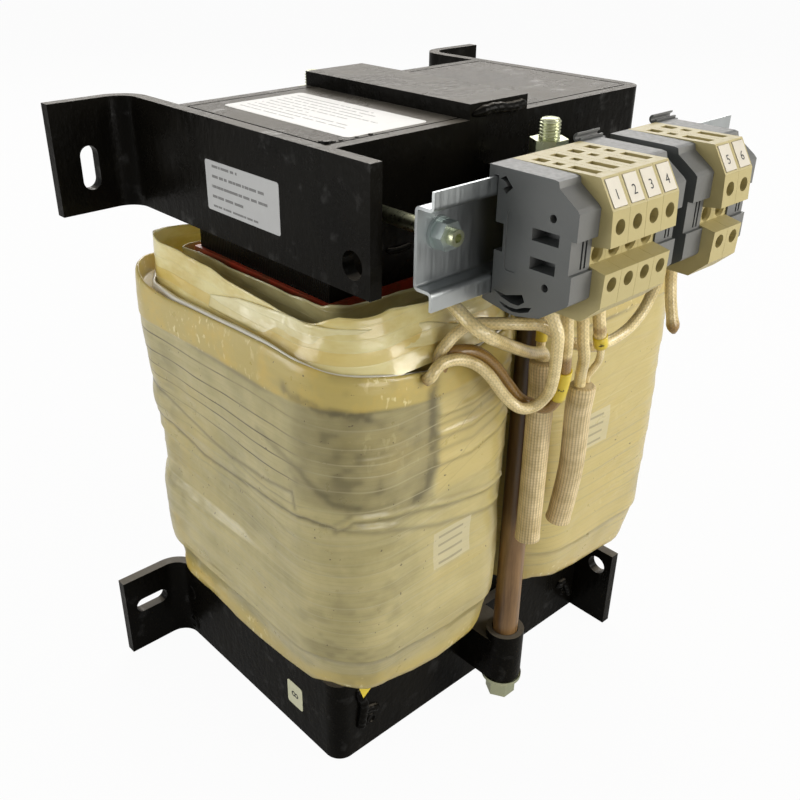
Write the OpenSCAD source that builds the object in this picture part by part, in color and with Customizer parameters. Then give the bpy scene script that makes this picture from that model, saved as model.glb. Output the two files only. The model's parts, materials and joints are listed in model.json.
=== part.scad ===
// Control transformer: single-phase, two wrapped coils on an open iron core,
// clamped between two steel frames, with rail-mounted terminals at the front.
// Frame: X along the terminal rail, -Y is the terminal side, Z up,
// origin in the middle of the core's footprint, on the standing plane.

/* [Core] */
// Overall width of the iron core
core_w = 146; // [120:1:180]
// Stack thickness of the laminations
core_d = 74; // [60:1:90]
// Overall height of the core, which is the height of the transformer
core_h = 250; // [210:1:300]
// Height of each yoke
yoke_h = 49.5; // [42:0.5:58]
// Width of each limb
limb_w = 49; // [42:0.5:54]

/* [Clamp frames] */
// Thickness of the flat steel in both frames
bar_t = 4.5; // [3.5:0.5:6]
// Height of the side bars and their ears
bar_h = 40; // [34:1:44]
// Height of the front and back plates
plate_h = 36; // [30:1:40]
// How far a free side bar runs past the front plate
bar_overhang = 20; // [14:1:28]
// Distance from the back plate to the ears' rear face
ear_setback = 34; // [26:1:44]
// Length of an ear beyond its side bar's outer face
ear_len = 30; // [26:1:38]
// Inner bend radius at the ears
ear_bend_r = 8; // [4:0.5:10]
// Inner bend radius at the bent bar's front corner
corner_bend_r = 2.5; // [2:0.1:2.5]
// Varnish-filled gap between the core and the frames
frame_gap = 0.8; // [0.75:0.05:0.9]
// Width of the slot in each ear
slot_w = 7; // [5:0.5:9]
// End-to-end length of the slot in each ear
slot_l = 16; // [12:1:20]
// Distance of the slot's centre from the ear's free end
slot_in = 13; // [11:0.5:15]
// Bore at the front end of each free side bar
bar_bore_d = 9; // [6:0.5:11]
// Width of the strap across the top yoke
strap_w = 28; // [20:1:36]
// How far the strap's middle lies left of the core's middle
strap_offset = 4; // [0:1:8]
// Thickness of the strap
strap_t = 5; // [3:0.5:6]

/* [Coils] */
// Height of each winding
coil_h = 136; // [110:1:160]
// Thickness of each winding towards its neighbour and away from it
coil_build_x = 21; // [15:0.5:23]
// Thickness of each winding in front of and behind its limb
coil_build_y = 29; // [20:0.5:34]
// Corner radius of the windings
coil_r = 26; // [15:1:32]
// Wall of the coil formers
former_t = 1.5; // [1:0.25:2]
// Wall of the film collars that stand on the windings
film_t = 0.8; // [0.6:0.1:1.5]
// Height of the film collars
collar_h = 11; // [4:0.5:11]

/* [Tie rods] */
// Diameter of the tie rods
rod_d = 7; // [6:0.5:8]
// Outer diameter of the fibre tubes on the tie rods
tube_d = 10.5; // [9:0.5:14]
// Outer diameter of the rod bosses
boss_d = 16; // [14:0.5:20]
// Height of the rod bosses
boss_h = 24.6; // [20:0.1:30]
// Distance from a front or back plate to the rod's axis
rod_out = 18.3; // [14:0.1:24]

/* [Rail] */
// Overall height of the top-hat rail
rail_h = 35; // [30:1:40]
// Depth of the top-hat rail
rail_depth = 7.5; // [7:0.5:12]
// Height of the rail's web
rail_web = 25; // [20:1:27]
// Sheet thickness of the rail
rail_t = 1; // [0.8:0.1:1.5]
// Inner bend radius of the rail
rail_bend_r = 0.8; // [0.4:0.1:1]
// Length of the rail
rail_len = 151; // [145:1:180]
// Distance of the rail's centre line below the top of the core
rail_drop = 24; // [20:1:30]
// Gap between the free bar's front end and the rail's web
rail_gap = 7.5; // [5:0.5:15]
// Diameter of the rail's spacer rods
spacer_d = 5; // [4:0.5:6]
// Distance between the rail's spacer rods
spacer_pitch = 119; // [90:1:124]
// Height of the spacer rods above the rail's centre line
spacer_rise = 3; // [0:0.5:5]

/* [Terminals] */
// Width of one terminal
term_w = 8; // [7:0.1:9]
// Width of one end bracket
bracket_w = 9.5; // [8:0.5:11]
// Number of terminals in the left group
group_1 = 4; // [2:1:4]
// Number of terminals in the right group
group_2 = 2; // [1:1:2]
// Distance from the rail's left end to the first end bracket
group_start = 25.2; // [22:0.1:27]
// Distance between the two groups
group_gap = 6; // [6:0.5:12]

/* [Leads] */
// Diameter of a sleeved lead
lead_d = 4; // [3:0.1:4.4]
// Diameter of the two thick braided sleeves
sleeve_d = 9.8; // [8:0.2:10]

/* [Hidden] */

// running clearance of a piece that is slipped over another
fit = 0.3;
// gap between flat neighbours that aren't joined
seat = 0.05;
// overshoot of a cut beyond the face it opens
eps = 1;
fine = 64;

// core
limb_x = (core_w - limb_w) / 2;
window_h = core_h - 2 * yoke_h;

// frames
plate_y = core_d / 2 + frame_gap + bar_t;
bar_x = core_w / 2 + frame_gap + bar_t;
bar_front = -plate_y - bar_overhang;
ear_y = plate_y + ear_setback;
ear_outer_r = ear_bend_r + bar_t;
corner_outer_r = corner_bend_r + bar_t;
corner_step = corner_outer_r + 5;

// coils
coil_bottom = yoke_h + 2.5;
coil_top = coil_bottom + coil_h;
collar_play = 0.7;
former_gap = limb_w / 2 + fit + former_t;
former_gap_y = core_d / 2 + fit + former_t;

// tie rods
rod_y = plate_y + rod_out;
boss_z = 15.4;
washer_d = 17;
washer_t = 1.6;
spring_washer_d = 12.4;
spring_washer_t = 2.2;
spring_washer_split = 1.2;
nut_h = 6.5;
nut_af = 11;
nut_z = boss_z - washer_t - spring_washer_t - nut_h;
rod_tail = 1.5;
rod_head = 6.3;

// rail
rail_z = core_h - rail_drop;
web_y = bar_front - rail_gap;
brim_y = web_y - rail_depth;
rail_x0 = -68.4;
spacer_nut_af = 8;
spacer_nut_h = 4;
spacer_washer_d = 10;
spacer_washer_t = 1;
spacer_tail = 2.5;
spacer_socket_af = 2.5;
spacer_socket_depth = 2.5;

// terminals, measured from the rail's brim and centre line
term_x0 = rail_x0 + group_start;
term_x1 = term_x0 + bracket_w;
bracket_2_x = term_x1 + group_1 * term_w;
bracket_3_x = bracket_2_x + bracket_w + group_gap;
term_x2 = bracket_3_x + bracket_w;
bracket_4_x = term_x2 + group_2 * term_w;
term_depth = 33;
term_top = 21;
term_foot = 21.5;
term_foot_top = -15.7;
recess_depth = 27;
bracket_nose = 29.4;
bracket_recess = 27.6;
bracket_foot = -22.3;
window_depth = 6;
panel_depth = 0.25;
pin_hole_d = 2.4;
grip_at = [-4.6, 21.2];
grip_d = 3;
grip_bore = 1.6;
grip_w = 11.5;
tag_back = 28;
tag_front = term_depth + 0.2;
tag_drop = 8.4;
tag_w = 6;
tag_t = 0.8;
tag_len = 8.2;
tag_gap = 0.15;
tag_sunk = 0.6;
screw_heights = [7.8, -9.1];
screw_sink = 6;
screw_h = 3;
screw_gap = 0.2;
screw_slot_w = 0.7;
screw_slot_depth = 0.8;
bore_depth = 9;
claw = 2.2;
claw_grip = 3;
brim_gap = 0.3;
brim_edge = rail_h / 2;
notch_depth = 3.4;
notch_low = -4;
notch_high = 4.4;
screw_hole_d = 4.4;
wire_hole_d = 4.8;
wire_hole_depth = 8;
wire_funnel_d = 5.5;
wire_funnel_h = 1;
pocket_depth = 4;
lead_hole_d = 5;
lead_hole_y = brim_y - 14;
side_gap = 0.05;

// routes of the leads, from the terminal's underside to the top of a winding
lead_sides = 8;
route_steps = 3;
lead_1_route = [
  [-29.7, -91, 206], [-29.7, -91.3, 201], [-29, -93.2, 196], [-28.2, -93, 191], [-24.6, -90.3, 181],
  [-21.9, -87.5, 172.4], [-21.2, -85, 167.7], [-22.8, -82.5, 164.1], [-26.8, -80.5, 163.7],
  [-30.2, -78.4, 166.3], [-33.9, -76.4, 171.3], [-37.1, -74.8, 176.5], [-40.4, -73.3, 180.5],
  [-44.5, -71.7, 183.5], [-49.5, -70.6, 185.4], [-54.6, -70, 185.7], [-57.8, -70, 184.6],
  [-59, -70, 182.9]
];
lead_2_route = [
  [-21.7, -91, 206], [-21.7, -91, 198], [-21.6, -91.7, 191.4], [-19.8, -90.5, 184.4],
  [-16.2, -88, 175.1], [-14.3, -84.5, 164.1], [-15.9, -81.5, 160.4], [-19.3, -78.5, 161.9],
  [-23.9, -76.3, 165.1], [-27.9, -74.4, 171], [-31.9, -73, 177.1], [-36.6, -71.8, 182.4],
  [-40, -71.2, 186.8], [-42.3, -69.7, 189.9], [-43.6, -67, 190.7], [-44, -65.2, 189.6],
  [-44, -65.2, 188.4]
];
lead_3_route = [
  [-13.7, -91, 206], [-13.7, -91, 198], [-13, -91.5, 189], [-10.5, -91, 181.5], [-7.4, -88.5, 174],
  [-5.7, -87.2, 170], [-5.6, -87.2, 167.6]
];
lead_4_route = [
  [-5.7, -91, 206], [-5.7, -91, 198], [-5, -92, 189.5], [-2.2, -91.5, 181.5], [0, -89.7, 176],
  [-0.5, -88.2, 172.5], [-1.3, -87, 170], [-1.4, -86.8, 167.6]
];
lead_5_route = [
  [35.3, -91, 206], [35.3, -91, 198], [35.6, -92.5, 188], [36.5, -95, 177]
];
lead_6_route = [
  [27.3, -91, 206], [27.3, -91, 199], [26.6, -89.8, 193], [24.2, -89, 187.5], [19.5, -88.2, 183],
  [14, -87.7, 180.8], [7, -87.2, 179.8], [-1.4, -87, 180.8], [-10.2, -86.3, 184.4],
  [-16, -85.4, 187.8], [-21.3, -84.2, 192], [-25.8, -83.2, 194.6], [-30, -82, 195.6],
  [-35.3, -79.6, 196.6], [-39.6, -76.2, 196.7], [-42.3, -73, 196.4], [-44.5, -70, 195.3],
  [-46.8, -67.8, 193.8], [-49.4, -66.4, 192.2], [-51.4, -65.3, 190.6], [-51.9, -65.2, 188.4]
];
lead_7_route = [
  [-46, -56.8, 188.4], [-46, -56.8, 192.5], [-46.2, -57.3, 198.8], [-47.5, -62, 202.8],
  [-49.5, -68, 203], [-50.8, -73.5, 201.8], [-50.4, -77.9, 199.4], [-46, -80.3, 195.5],
  [-38.5, -79.3, 191], [-30.3, -77.3, 186.2], [-21.8, -75.6, 181.5], [-14.8, -74.3, 178.2],
  [-10.6, -73.4, 177], [-8.3, -73, 175], [-8.2, -73, 173]
];
sleeve_1_route = [
  [-8.2, -73, 172.6], [-8.1, -73, 170], [-7.5, -73, 159], [-7.3, -73, 129.5], [-7.3, -73, 97.4]
];
sleeve_2_route = [
  [-3.8, -87, 167.2], [-3.6, -86.8, 164], [-1.6, -85, 155.8], [2.9, -82, 142.3], [7.5, -78.7, 126.3],
  [9.2, -76, 110.6], [9, -74.5, 99.4]
];

// ---------- shapes shared by several pieces ----------

module rounded_plan(w, d, r) {
  square([w - 2 * r, d], center = true);
  square([w, d - 2 * r], center = true);
  for (x = [-1, 1], y = [-1, 1])
    translate([x * (w / 2 - r), y * (d / 2 - r)]) circle(r, $fn = fine);
}

module slot_plan(length, width) {
  square([length - width, width], center = true);
  for (x = [-1, 1])
    translate([x * (length - width) / 2, 0]) circle(d = width, $fn = fine);
}

module hex_nut(af, h, bore) {
  difference() {
    cylinder(d = af / cos(30), h = h, $fn = 6);
    translate([0, 0, -eps]) cylinder(d = bore, h = h + 2 * eps, $fn = fine);
  }
}

module washer(d, h, bore) {
  difference() {
    cylinder(d = d, h = h, $fn = fine);
    translate([0, 0, -eps]) cylinder(d = bore, h = h + 2 * eps, $fn = fine);
  }
}

// turns a piece of the bottom frame into its twin on the top frame
module on_top() {
  translate([0, 0, core_h]) rotate([0, 180, 0]) children();
}

// ---------- core ----------

module core_lower() {
  color([0.09, 0.09, 0.1]) {
    translate([-core_w / 2, -core_d / 2, 0]) cube([core_w, core_d, yoke_h]);
    for (x = [-1, 1])
      translate([x * limb_x - limb_w / 2, -core_d / 2, yoke_h - seat])
        cube([limb_w, core_d, window_h + seat]);
  }
}

module core_top_yoke() {
  color([0.09, 0.09, 0.1])
    translate([-core_w / 2, -core_d / 2, core_h - yoke_h + seat])
      cube([core_w, core_d, yoke_h - seat]);
}

// ---------- clamp frames, drawn as the bottom frame ----------

// quarter ring with its inner and outer arcs, in the quadrant of +X and +Y
module bend_plan(inner, outer) {
  intersection() {
    difference() {
      circle(outer, $fn = fine);
      circle(inner, $fn = fine);
    }
    square(2 * outer);
  }
}

// plan of a flat bar along Y that ends in an ear bent towards +X
module bar_with_ear_plan(front) {
  translate([-bar_t, front]) square([bar_t, ear_y - ear_outer_r - front]);
  translate([ear_bend_r, ear_y - ear_outer_r]) mirror([1, 0]) bend_plan(ear_bend_r, ear_outer_r);
  translate([ear_bend_r, ear_y - bar_t]) square([ear_len - ear_bend_r, bar_t]);
}

// slot through an ear; the bar's outer face is at x = 0
module ear_slot(upright) {
  translate([ear_len - slot_in, ear_y + eps, bar_h - 16])
    rotate([90, upright ? 90 : 0, 0])
      linear_extrude(bar_t + 2 * eps) slot_plan(slot_l, slot_w);
}

module bottom_free_bar() {
  color([0.1, 0.1, 0.11]) difference() {
    translate([bar_x, 0, 0]) linear_extrude(bar_h) bar_with_ear_plan(bar_front);
    translate([bar_x, 0, 0]) ear_slot(true);
    translate([bar_x + eps, bar_front + 8, bar_h - 9]) rotate([0, -90, 0])
      cylinder(d = bar_bore_d, h = bar_t + 2 * eps, $fn = fine);
  }
}

// side bar on the left whose front end is bent round the corner
module bottom_bent_bar() {
  color([0.1, 0.1, 0.11]) mirror([1, 0, 0]) translate([bar_x, 0, 0]) difference() {
    linear_extrude(bar_h) {
      bar_with_ear_plan(-plate_y + corner_outer_r);
      translate([-corner_outer_r, -plate_y + corner_outer_r])
        mirror([0, 1]) bend_plan(corner_bend_r, corner_outer_r);
      translate([-corner_step, -plate_y]) square([corner_step - corner_outer_r, bar_t]);
    }
    ear_slot(false);
  }
}

module bottom_front_plate() {
  color([0.1, 0.1, 0.11])
    translate([-bar_x + corner_step, -plate_y, 0])
      cube([2 * bar_x - corner_step - bar_t, bar_t, plate_h]);
}

module bottom_back_plate() {
  color([0.1, 0.1, 0.11])
    translate([-bar_x + bar_t, plate_y - bar_t, 0])
      cube([2 * bar_x - 2 * bar_t, bar_t, plate_h]);
}

module yoke_strap() {
  color([0.11, 0.11, 0.12])
    translate([-strap_w / 2 - strap_offset, -plate_y, core_h]) cube([strap_w, 2 * plate_y, strap_t]);
}

// ---------- coils, drawn for the right limb ----------

module limb_hole(x_half, y_half) {
  translate([-x_half, -y_half]) square([2 * x_half, 2 * y_half]);
}

module winding() {
  w = 2 * (former_gap + coil_build_x);
  d = 2 * (former_gap_y + coil_build_y);
  difference() {
    translate([0, 0, coil_bottom]) {
      linear_extrude(3) rounded_plan(w - 12, d - 12, coil_r - 6);
      translate([0, 0, 3]) linear_extrude(5) rounded_plan(w - 5, d - 5, coil_r - 2.5);
      translate([0, 0, 8]) linear_extrude(coil_h - 8) rounded_plan(w, d, coil_r);
    }
    translate([0, 0, coil_bottom - eps]) linear_extrude(coil_h + 2 * eps)
      limb_hole(former_gap, former_gap_y);
  }
}

module former() {
  difference() {
    translate([0, 0, yoke_h + seat]) linear_extrude(window_h - 2 * seat)
      limb_hole(former_gap - seat, former_gap_y - seat);
    translate([0, 0, yoke_h - eps]) linear_extrude(window_h + 2 * eps)
      limb_hole(former_gap - former_t, former_gap_y - former_t);
  }
}

module collar(w, d, r, h) {
  translate([0, 0, coil_top]) linear_extrude(h) difference() {
    rounded_plan(w, d, r);
    rounded_plan(w - 2 * film_t, d - 2 * film_t, r - film_t);
  }
}

module outer_collar() {
  collar(2 * former_gap + 25, 2 * former_gap_y + 44, 18, collar_h);
}

// stands up to the top yoke
module inner_collar() {
  collar(2 * former_gap + 8, 2 * former_gap_y + 16, 6, core_h - yoke_h - collar_play - coil_top);
}

module coil_left() { color([0.84, 0.79, 0.55]) translate([-limb_x, 0, 0]) winding(); }
module coil_right() { color([0.84, 0.79, 0.55]) translate([limb_x, 0, 0]) winding(); }
module former_left() { color([0.5, 0.16, 0.08]) translate([-limb_x, 0, 0]) former(); }
module former_right() { color([0.5, 0.16, 0.08]) translate([limb_x, 0, 0]) former(); }
module outer_collar_left() { color([0.87, 0.78, 0.45]) translate([-limb_x, 0, 0]) outer_collar(); }
module outer_collar_right() { color([0.87, 0.78, 0.45]) translate([limb_x, 0, 0]) outer_collar(); }
module inner_collar_left() { color([0.85, 0.8, 0.6]) translate([-limb_x, 0, 0]) inner_collar(); }
module inner_collar_right() { color([0.85, 0.8, 0.6]) translate([limb_x, 0, 0]) inner_collar(); }

// ---------- tie rods ----------

// tube boss on a frame with the web that joins it to the plate
module rod_boss() {
  difference() {
    union() {
      translate([0, -rod_y, boss_z]) cylinder(d = boss_d, h = boss_h, $fn = fine);
      translate([-boss_d / 2, -rod_y, boss_z])
        cube([boss_d, rod_out - seat, plate_h - boss_z]);
    }
    translate([0, -rod_y, boss_z - eps])
      cylinder(d = tube_d + 2 * fit, h = boss_h + 2 * eps, $fn = fine);
  }
}

module both_rods() {
  children();
  mirror([0, 1, 0]) children();
}

module bottom_rod_bosses() { color([0.11, 0.11, 0.11]) both_rods() rod_boss(); }
module top_rod_bosses() { on_top() bottom_rod_bosses(); }

module tie_rods() {
  color([0.72, 0.72, 0.55]) both_rods()
    translate([0, -rod_y, nut_z - rod_tail])
      cylinder(d = rod_d, h = core_h - 2 * nut_z + rod_tail + rod_head, $fn = fine);
}

module rod_tubes() {
  color([0.5, 0.33, 0.2]) both_rods() translate([0, -rod_y, boss_z + 1]) difference() {
    cylinder(d = tube_d, h = core_h - 2 * boss_z - 2, $fn = fine);
    translate([0, 0, -eps]) cylinder(d = rod_d + fit, h = core_h, $fn = fine);
  }
}

module bottom_rod_washers() {
  color([0.8, 0.8, 0.7]) both_rods() translate([0, -rod_y, boss_z - washer_t])
    washer(washer_d, washer_t, rod_d + 2 * fit);
}

module bottom_spring_washers() {
  color([0.7, 0.7, 0.62]) both_rods()
    translate([0, -rod_y, nut_z + nut_h]) difference() {
      washer(spring_washer_d, spring_washer_t, rod_d + 2 * fit);
      translate([0, -spring_washer_split / 2, -eps])
        cube([spring_washer_d, spring_washer_split, spring_washer_t + 2 * eps]);
    }
}

module bottom_rod_nuts() {
  color([0.8, 0.8, 0.62]) both_rods() translate([0, -rod_y, nut_z])
    hex_nut(nut_af, nut_h, rod_d);
}

module top_rod_washers() { on_top() bottom_rod_washers(); }
module top_spring_washers() { on_top() bottom_spring_washers(); }
module top_rod_nuts() { on_top() bottom_rod_nuts(); }

// ---------- rail ----------

// upper half of the top-hat outline; x runs along Y and y along Z
module half_rail_plan() {
  shoulder = rail_web / 2;
  outer = rail_bend_r + rail_t;
  translate([web_y - rail_t, 0]) square([rail_t, shoulder - outer]);
  translate([web_y - outer, shoulder - outer]) bend_plan(rail_bend_r, outer);
  translate([brim_y + outer, shoulder - rail_t]) square([rail_depth - 2 * outer, rail_t]);
  translate([brim_y + outer, shoulder - rail_t + outer])
    rotate(180) bend_plan(rail_bend_r, outer);
  translate([brim_y, shoulder - rail_t + outer])
    square([rail_t, rail_h / 2 - shoulder + rail_t - outer]);
}

module rail() {
  color([0.72, 0.74, 0.75]) difference() {
    translate([rail_x0, 0, rail_z]) rotate([90, 0, 90]) linear_extrude(rail_len) {
      half_rail_plan();
      mirror([0, 1]) half_rail_plan();
    }
    spacer_sites() rotate([90, 0, 0]) translate([0, 0, -eps])
      cylinder(d = spacer_d + 2 * fit, h = rail_t + 2 * eps, $fn = fine);
  }
}

// children are drawn at each spacer rod, at the web's rear face
module spacer_sites() {
  for (s = [-1, 1])
    translate([s * spacer_pitch / 2, web_y, rail_z + spacer_rise]) children();
}

module rail_spacer_rods() {
  reach = rail_t + spacer_washer_t + spacer_nut_h + spacer_tail;
  color([0.78, 0.78, 0.6]) spacer_sites() rotate([90, 0, 0]) difference() {
    translate([0, 0, plate_y + web_y])
      cylinder(d = spacer_d, h = -plate_y - web_y + reach, $fn = fine);
    translate([0, 0, reach - spacer_socket_depth])
      cylinder(d = spacer_socket_af / cos(30), h = spacer_socket_depth + eps, $fn = 6);
  }
}

module rail_washers() {
  color([0.75, 0.75, 0.72]) spacer_sites() rotate([90, 0, 0])
    translate([0, 0, rail_t]) washer(spacer_washer_d, spacer_washer_t, spacer_d + 2 * fit);
}

module rail_nuts() {
  color([0.75, 0.75, 0.7]) spacer_sites() rotate([90, 0, 0])
    translate([0, 0, rail_t + spacer_washer_t]) hex_nut(spacer_nut_af, spacer_nut_h, spacer_d);
}

// ---------- terminals ----------
// Outlines are drawn in the plane of Y and Z: x is the distance in front of the
// rail's brim, y is the height above the rail's centre line.

// back of every rail-mounted block, with the claws behind both brims
function block_back() = [
  [-rail_t - claw, -brim_edge - 3], [-rail_t - claw, -brim_edge + claw_grip],
  [-rail_t - brim_gap, -brim_edge + claw_grip], [-rail_t - brim_gap, -brim_edge - brim_gap],
  [brim_gap, -brim_edge - brim_gap], [brim_gap, notch_low],
  [notch_depth, notch_low], [notch_depth, notch_high], [brim_gap, notch_high],
  [brim_gap, brim_edge + brim_gap], [-rail_t - brim_gap, brim_edge + brim_gap],
  [-rail_t - brim_gap, brim_edge - claw_grip], [-rail_t - claw, brim_edge - claw_grip],
  [-rail_t - claw, term_top - 0.5]
];

module block(x, w) {
  translate([x + side_gap, brim_y, rail_z]) rotate([90, 0, 90])
    linear_extrude(w - 2 * side_gap) scale([-1, 1]) children();
}

// the front has an upper and a lower nose with a recess between them
module bracket_plan() {
  polygon(concat(block_back(), [
    [20.2, term_top - 0.5], [21.5, term_top - 0.8], [22, term_top - 2.6], [28.4, 14],
    [bracket_nose, 13], [bracket_nose, 5], [bracket_recess, 5], [bracket_recess, -4.9],
    [bracket_nose - 0.6, -4.9], [bracket_nose - 0.6, -13], [28, -14], [18.8, -20.4],
    [9.8, bracket_foot], [5, bracket_foot + 0.4]
  ]));
}

// places what is drawn in the outline's plane on the left side of a block
module on_left_side(x, depth) {
  translate([x + side_gap - eps, brim_y, rail_z]) rotate([90, 0, 90])
    linear_extrude(depth + eps) scale([-1, 1]) children();
}

// curved slots through the springy foot
module foot_slots_plan() {
  polygon([
    [1, -16.2], [6, -16.8], [9.6, -15.7], [12.2, -14.9], [13.2, -17], [11, -18.7],
    [7.9, -18.7], [3.9, -17.7]
  ]);
  polygon([
    [3.5, -19.3], [8, -20.1], [10.5, -19.9], [13.2, -18.6], [15.9, -17.9], [14.9, -19.6],
    [12, -20.7], [9, -21.2], [5.5, -20.6]
  ]);
}

// notch that lets the upper claw spring
module claw_notch_plan() {
  polygon([
    [1, 17.1], [3, 18.2], [5.8, 15.3], [3.4, 13.1], [2.2, 14.4], [3.8, 15.5], [2.7, 16.6]
  ]);
}

module end_bracket(x) {
  color([0.5, 0.52, 0.54]) difference() {
    block(x, bracket_w) bracket_plan();
    on_left_side(x, bracket_w + eps) {
      foot_slots_plan();
      claw_notch_plan();
      for (c = [[20.8, 9.9], [20, -10.6]]) translate(c) circle(d = pin_hole_d, $fn = fine);
    }
    on_left_side(x, window_depth) {
      translate([13.9, 2.2]) square([9.6, 3.6]);
      translate([13.9, -6.3]) square([9.1, 3.7]);
    }
    on_left_side(x, panel_depth) translate([7, -0.2]) rounded_plan(5, 18, 1.2);
    for (slot_x = [5, 6.7])
      translate([x + slot_x, brim_y - bracket_recess - eps, rail_z - 4.2])
        cube([0.8, 3 + eps, 8.6]);
  }
}

// end bracket with the rolled grip of its release spring at the upper rear corner
module gripped_bracket(x) {
  end_bracket(x);
  color([0.5, 0.52, 0.54]) block(x, grip_w) difference() {
    union() {
      translate(grip_at) circle(d = grip_d, $fn = fine);
      translate([grip_at[0], term_top - 1.5]) square([-rail_t - claw - grip_at[0] + eps, 1]);
    }
    translate(grip_at) circle(d = grip_bore, $fn = fine);
    translate([grip_at[0], grip_at[1] + 0.1]) square([grip_d, grip_d / 2]);
  }
}

module terminal_plan() {
  polygon(concat(block_back(), [
    [tag_back, term_top], [tag_front, term_top - tag_drop], [term_depth + 0.8, 2.4],
    [recess_depth, 1.5], [recess_depth, -4.1], [term_depth + 0.2, -5.4],
    [term_depth - 0.2, term_foot_top], [recess_depth - 0.5, -term_foot], [5, -term_foot]
  ]));
}

module screw_sites() {
  for (z = screw_heights)
    translate([0, brim_y - term_depth, rail_z + z]) children();
}

// pockets in the top face, for bridges and test plugs
module top_pockets() {
  for (p = [[2, 4.6, 3.4], [9, 3.2, 2.6], [15, 9.6, 3.2]])
    translate([-p[2] / 2, brim_y - p[0] - p[1], rail_z + term_top - pocket_depth])
      cube([p[2], p[1], pocket_depth + eps]);
}

module terminal(x) {
  color([0.85, 0.8, 0.6]) difference() {
    block(x, term_w) terminal_plan();
    translate([x + term_w / 2, 0, 0]) {
      top_pockets();
      on_tag_face() translate([-tag_w / 2 - tag_gap, -eps, -tag_len / 2 - tag_gap])
        cube([tag_w + 2 * tag_gap, tag_sunk + eps, tag_len + 2 * tag_gap]);
      screw_sites() rotate([-90, 0, 0]) translate([0, 0, -eps])
        cylinder(d = screw_hole_d, h = bore_depth + eps, $fn = fine);
      translate([0, lead_hole_y, rail_z - term_foot - eps])
        cylinder(d = lead_hole_d, h = wire_hole_depth + eps, $fn = fine);
      translate([0, brim_y - recess_depth - eps, rail_z - 1.3]) rotate([-90, 0, 0])
        cylinder(d = wire_hole_d, h = wire_hole_depth + eps, $fn = fine);
      translate([0, brim_y - recess_depth, rail_z - 1.3]) rotate([-90, 0, 0])
        cylinder(d1 = wire_funnel_d, d2 = wire_hole_d, h = wire_funnel_h, $fn = fine);
    }
  }
}

// children are drawn at the middle of each terminal
module each_terminal() {
  for (i = [0 : group_1 - 1]) translate([term_x1 + (i + 0.5) * term_w, 0, 0]) children();
  for (i = [0 : group_2 - 1]) translate([term_x2 + (i + 0.5) * term_w, 0, 0]) children();
}

module clamp_screws() {
  color([0.75, 0.75, 0.72]) each_terminal() screw_sites() rotate([-90, 0, 0])
    translate([0, 0, screw_sink]) difference() {
      cylinder(d = screw_hole_d - screw_gap, h = screw_h, $fn = fine);
      translate([-screw_slot_w / 2, -screw_hole_d, -eps])
        cube([screw_slot_w, 2 * screw_hole_d, eps + screw_slot_depth]);
    }
}

// children are drawn on the sloping face above a terminal's upper nose, facing -Y
module on_tag_face() {
  run = tag_front - tag_back;
  translate([0, brim_y - tag_back - run / 2, rail_z + term_top - tag_drop / 2])
    rotate([-atan2(run, tag_drop), 0, 0]) children();
}

module number_tags() {
  color([0.95, 0.94, 0.9]) each_terminal() on_tag_face()
    translate([-tag_w / 2, tag_sunk - tag_t - seat, -tag_len / 2]) cube([tag_w, tag_t, tag_len]);
}

// ---------- leads ----------

// point between p[1] and p[2] on a smooth curve through four points
function curve_point(p, t) = 0.5 * (2 * p[1] + (p[2] - p[0]) * t
  + (2 * p[0] - 5 * p[1] + 4 * p[2] - p[3]) * t * t
  + (3 * p[1] - p[0] - 3 * p[2] + p[3]) * t * t * t);

function smooth_route(route) = [
  for (i = [0 : len(route) - 2], k = [0 : route_steps - 1])
    curve_point([route[max(i - 1, 0)], route[i], route[i + 1], route[min(i + 2, len(route) - 1)]],
      k / route_steps),
  route[len(route) - 1]
];

function unit(v) = v / norm(v);

// direction of the route at point i
function heading(p, i) = unit(p[min(i + 1, len(p) - 1)] - p[max(i - 1, 0)]);

function squared(side, along) = unit(side - (side * along) * along);

// a sideways direction for each point, carried along the route without twist
function sideways(p) = [
  for (i = 0, side = squared([1, 0, 0], heading(p, 0)); i < len(p);
    i = i + 1, side = i < len(p) ? squared(side, heading(p, i)) : side) side
];

// ring of points around point i, square to the route
function ring(p, i, side, d) =
  let (up = cross(side, heading(p, i)))
  [for (k = [0 : lead_sides - 1])
    p[i] + d / 2 * (cos(360 * k / lead_sides) * side + sin(360 * k / lead_sides) * up)];

module swept_tube(route, d) {
  p = smooth_route(route);
  rings = len(p);
  sides = sideways(p);
  points = [for (i = [0 : rings - 1]) each ring(p, i, sides[i], d)];
  walls = [for (i = [0 : rings - 2], k = [0 : lead_sides - 1])
    let (a = i * lead_sides + k, b = i * lead_sides + (k + 1) % lead_sides)
    [a, b, b + lead_sides, a + lead_sides]];
  start = [for (k = [lead_sides - 1 : -1 : 0]) k];
  end = [for (k = [0 : lead_sides - 1]) (rings - 1) * lead_sides + k];
  polyhedron(points, concat([start, end], walls), convexity = 10);
}

module lead(route) { color([0.82, 0.74, 0.55]) swept_tube(route, lead_d); }
module braided_sleeve(route) { color([0.82, 0.76, 0.6]) swept_tube(route, sleeve_d); }

// ---------- output ----------

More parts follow.
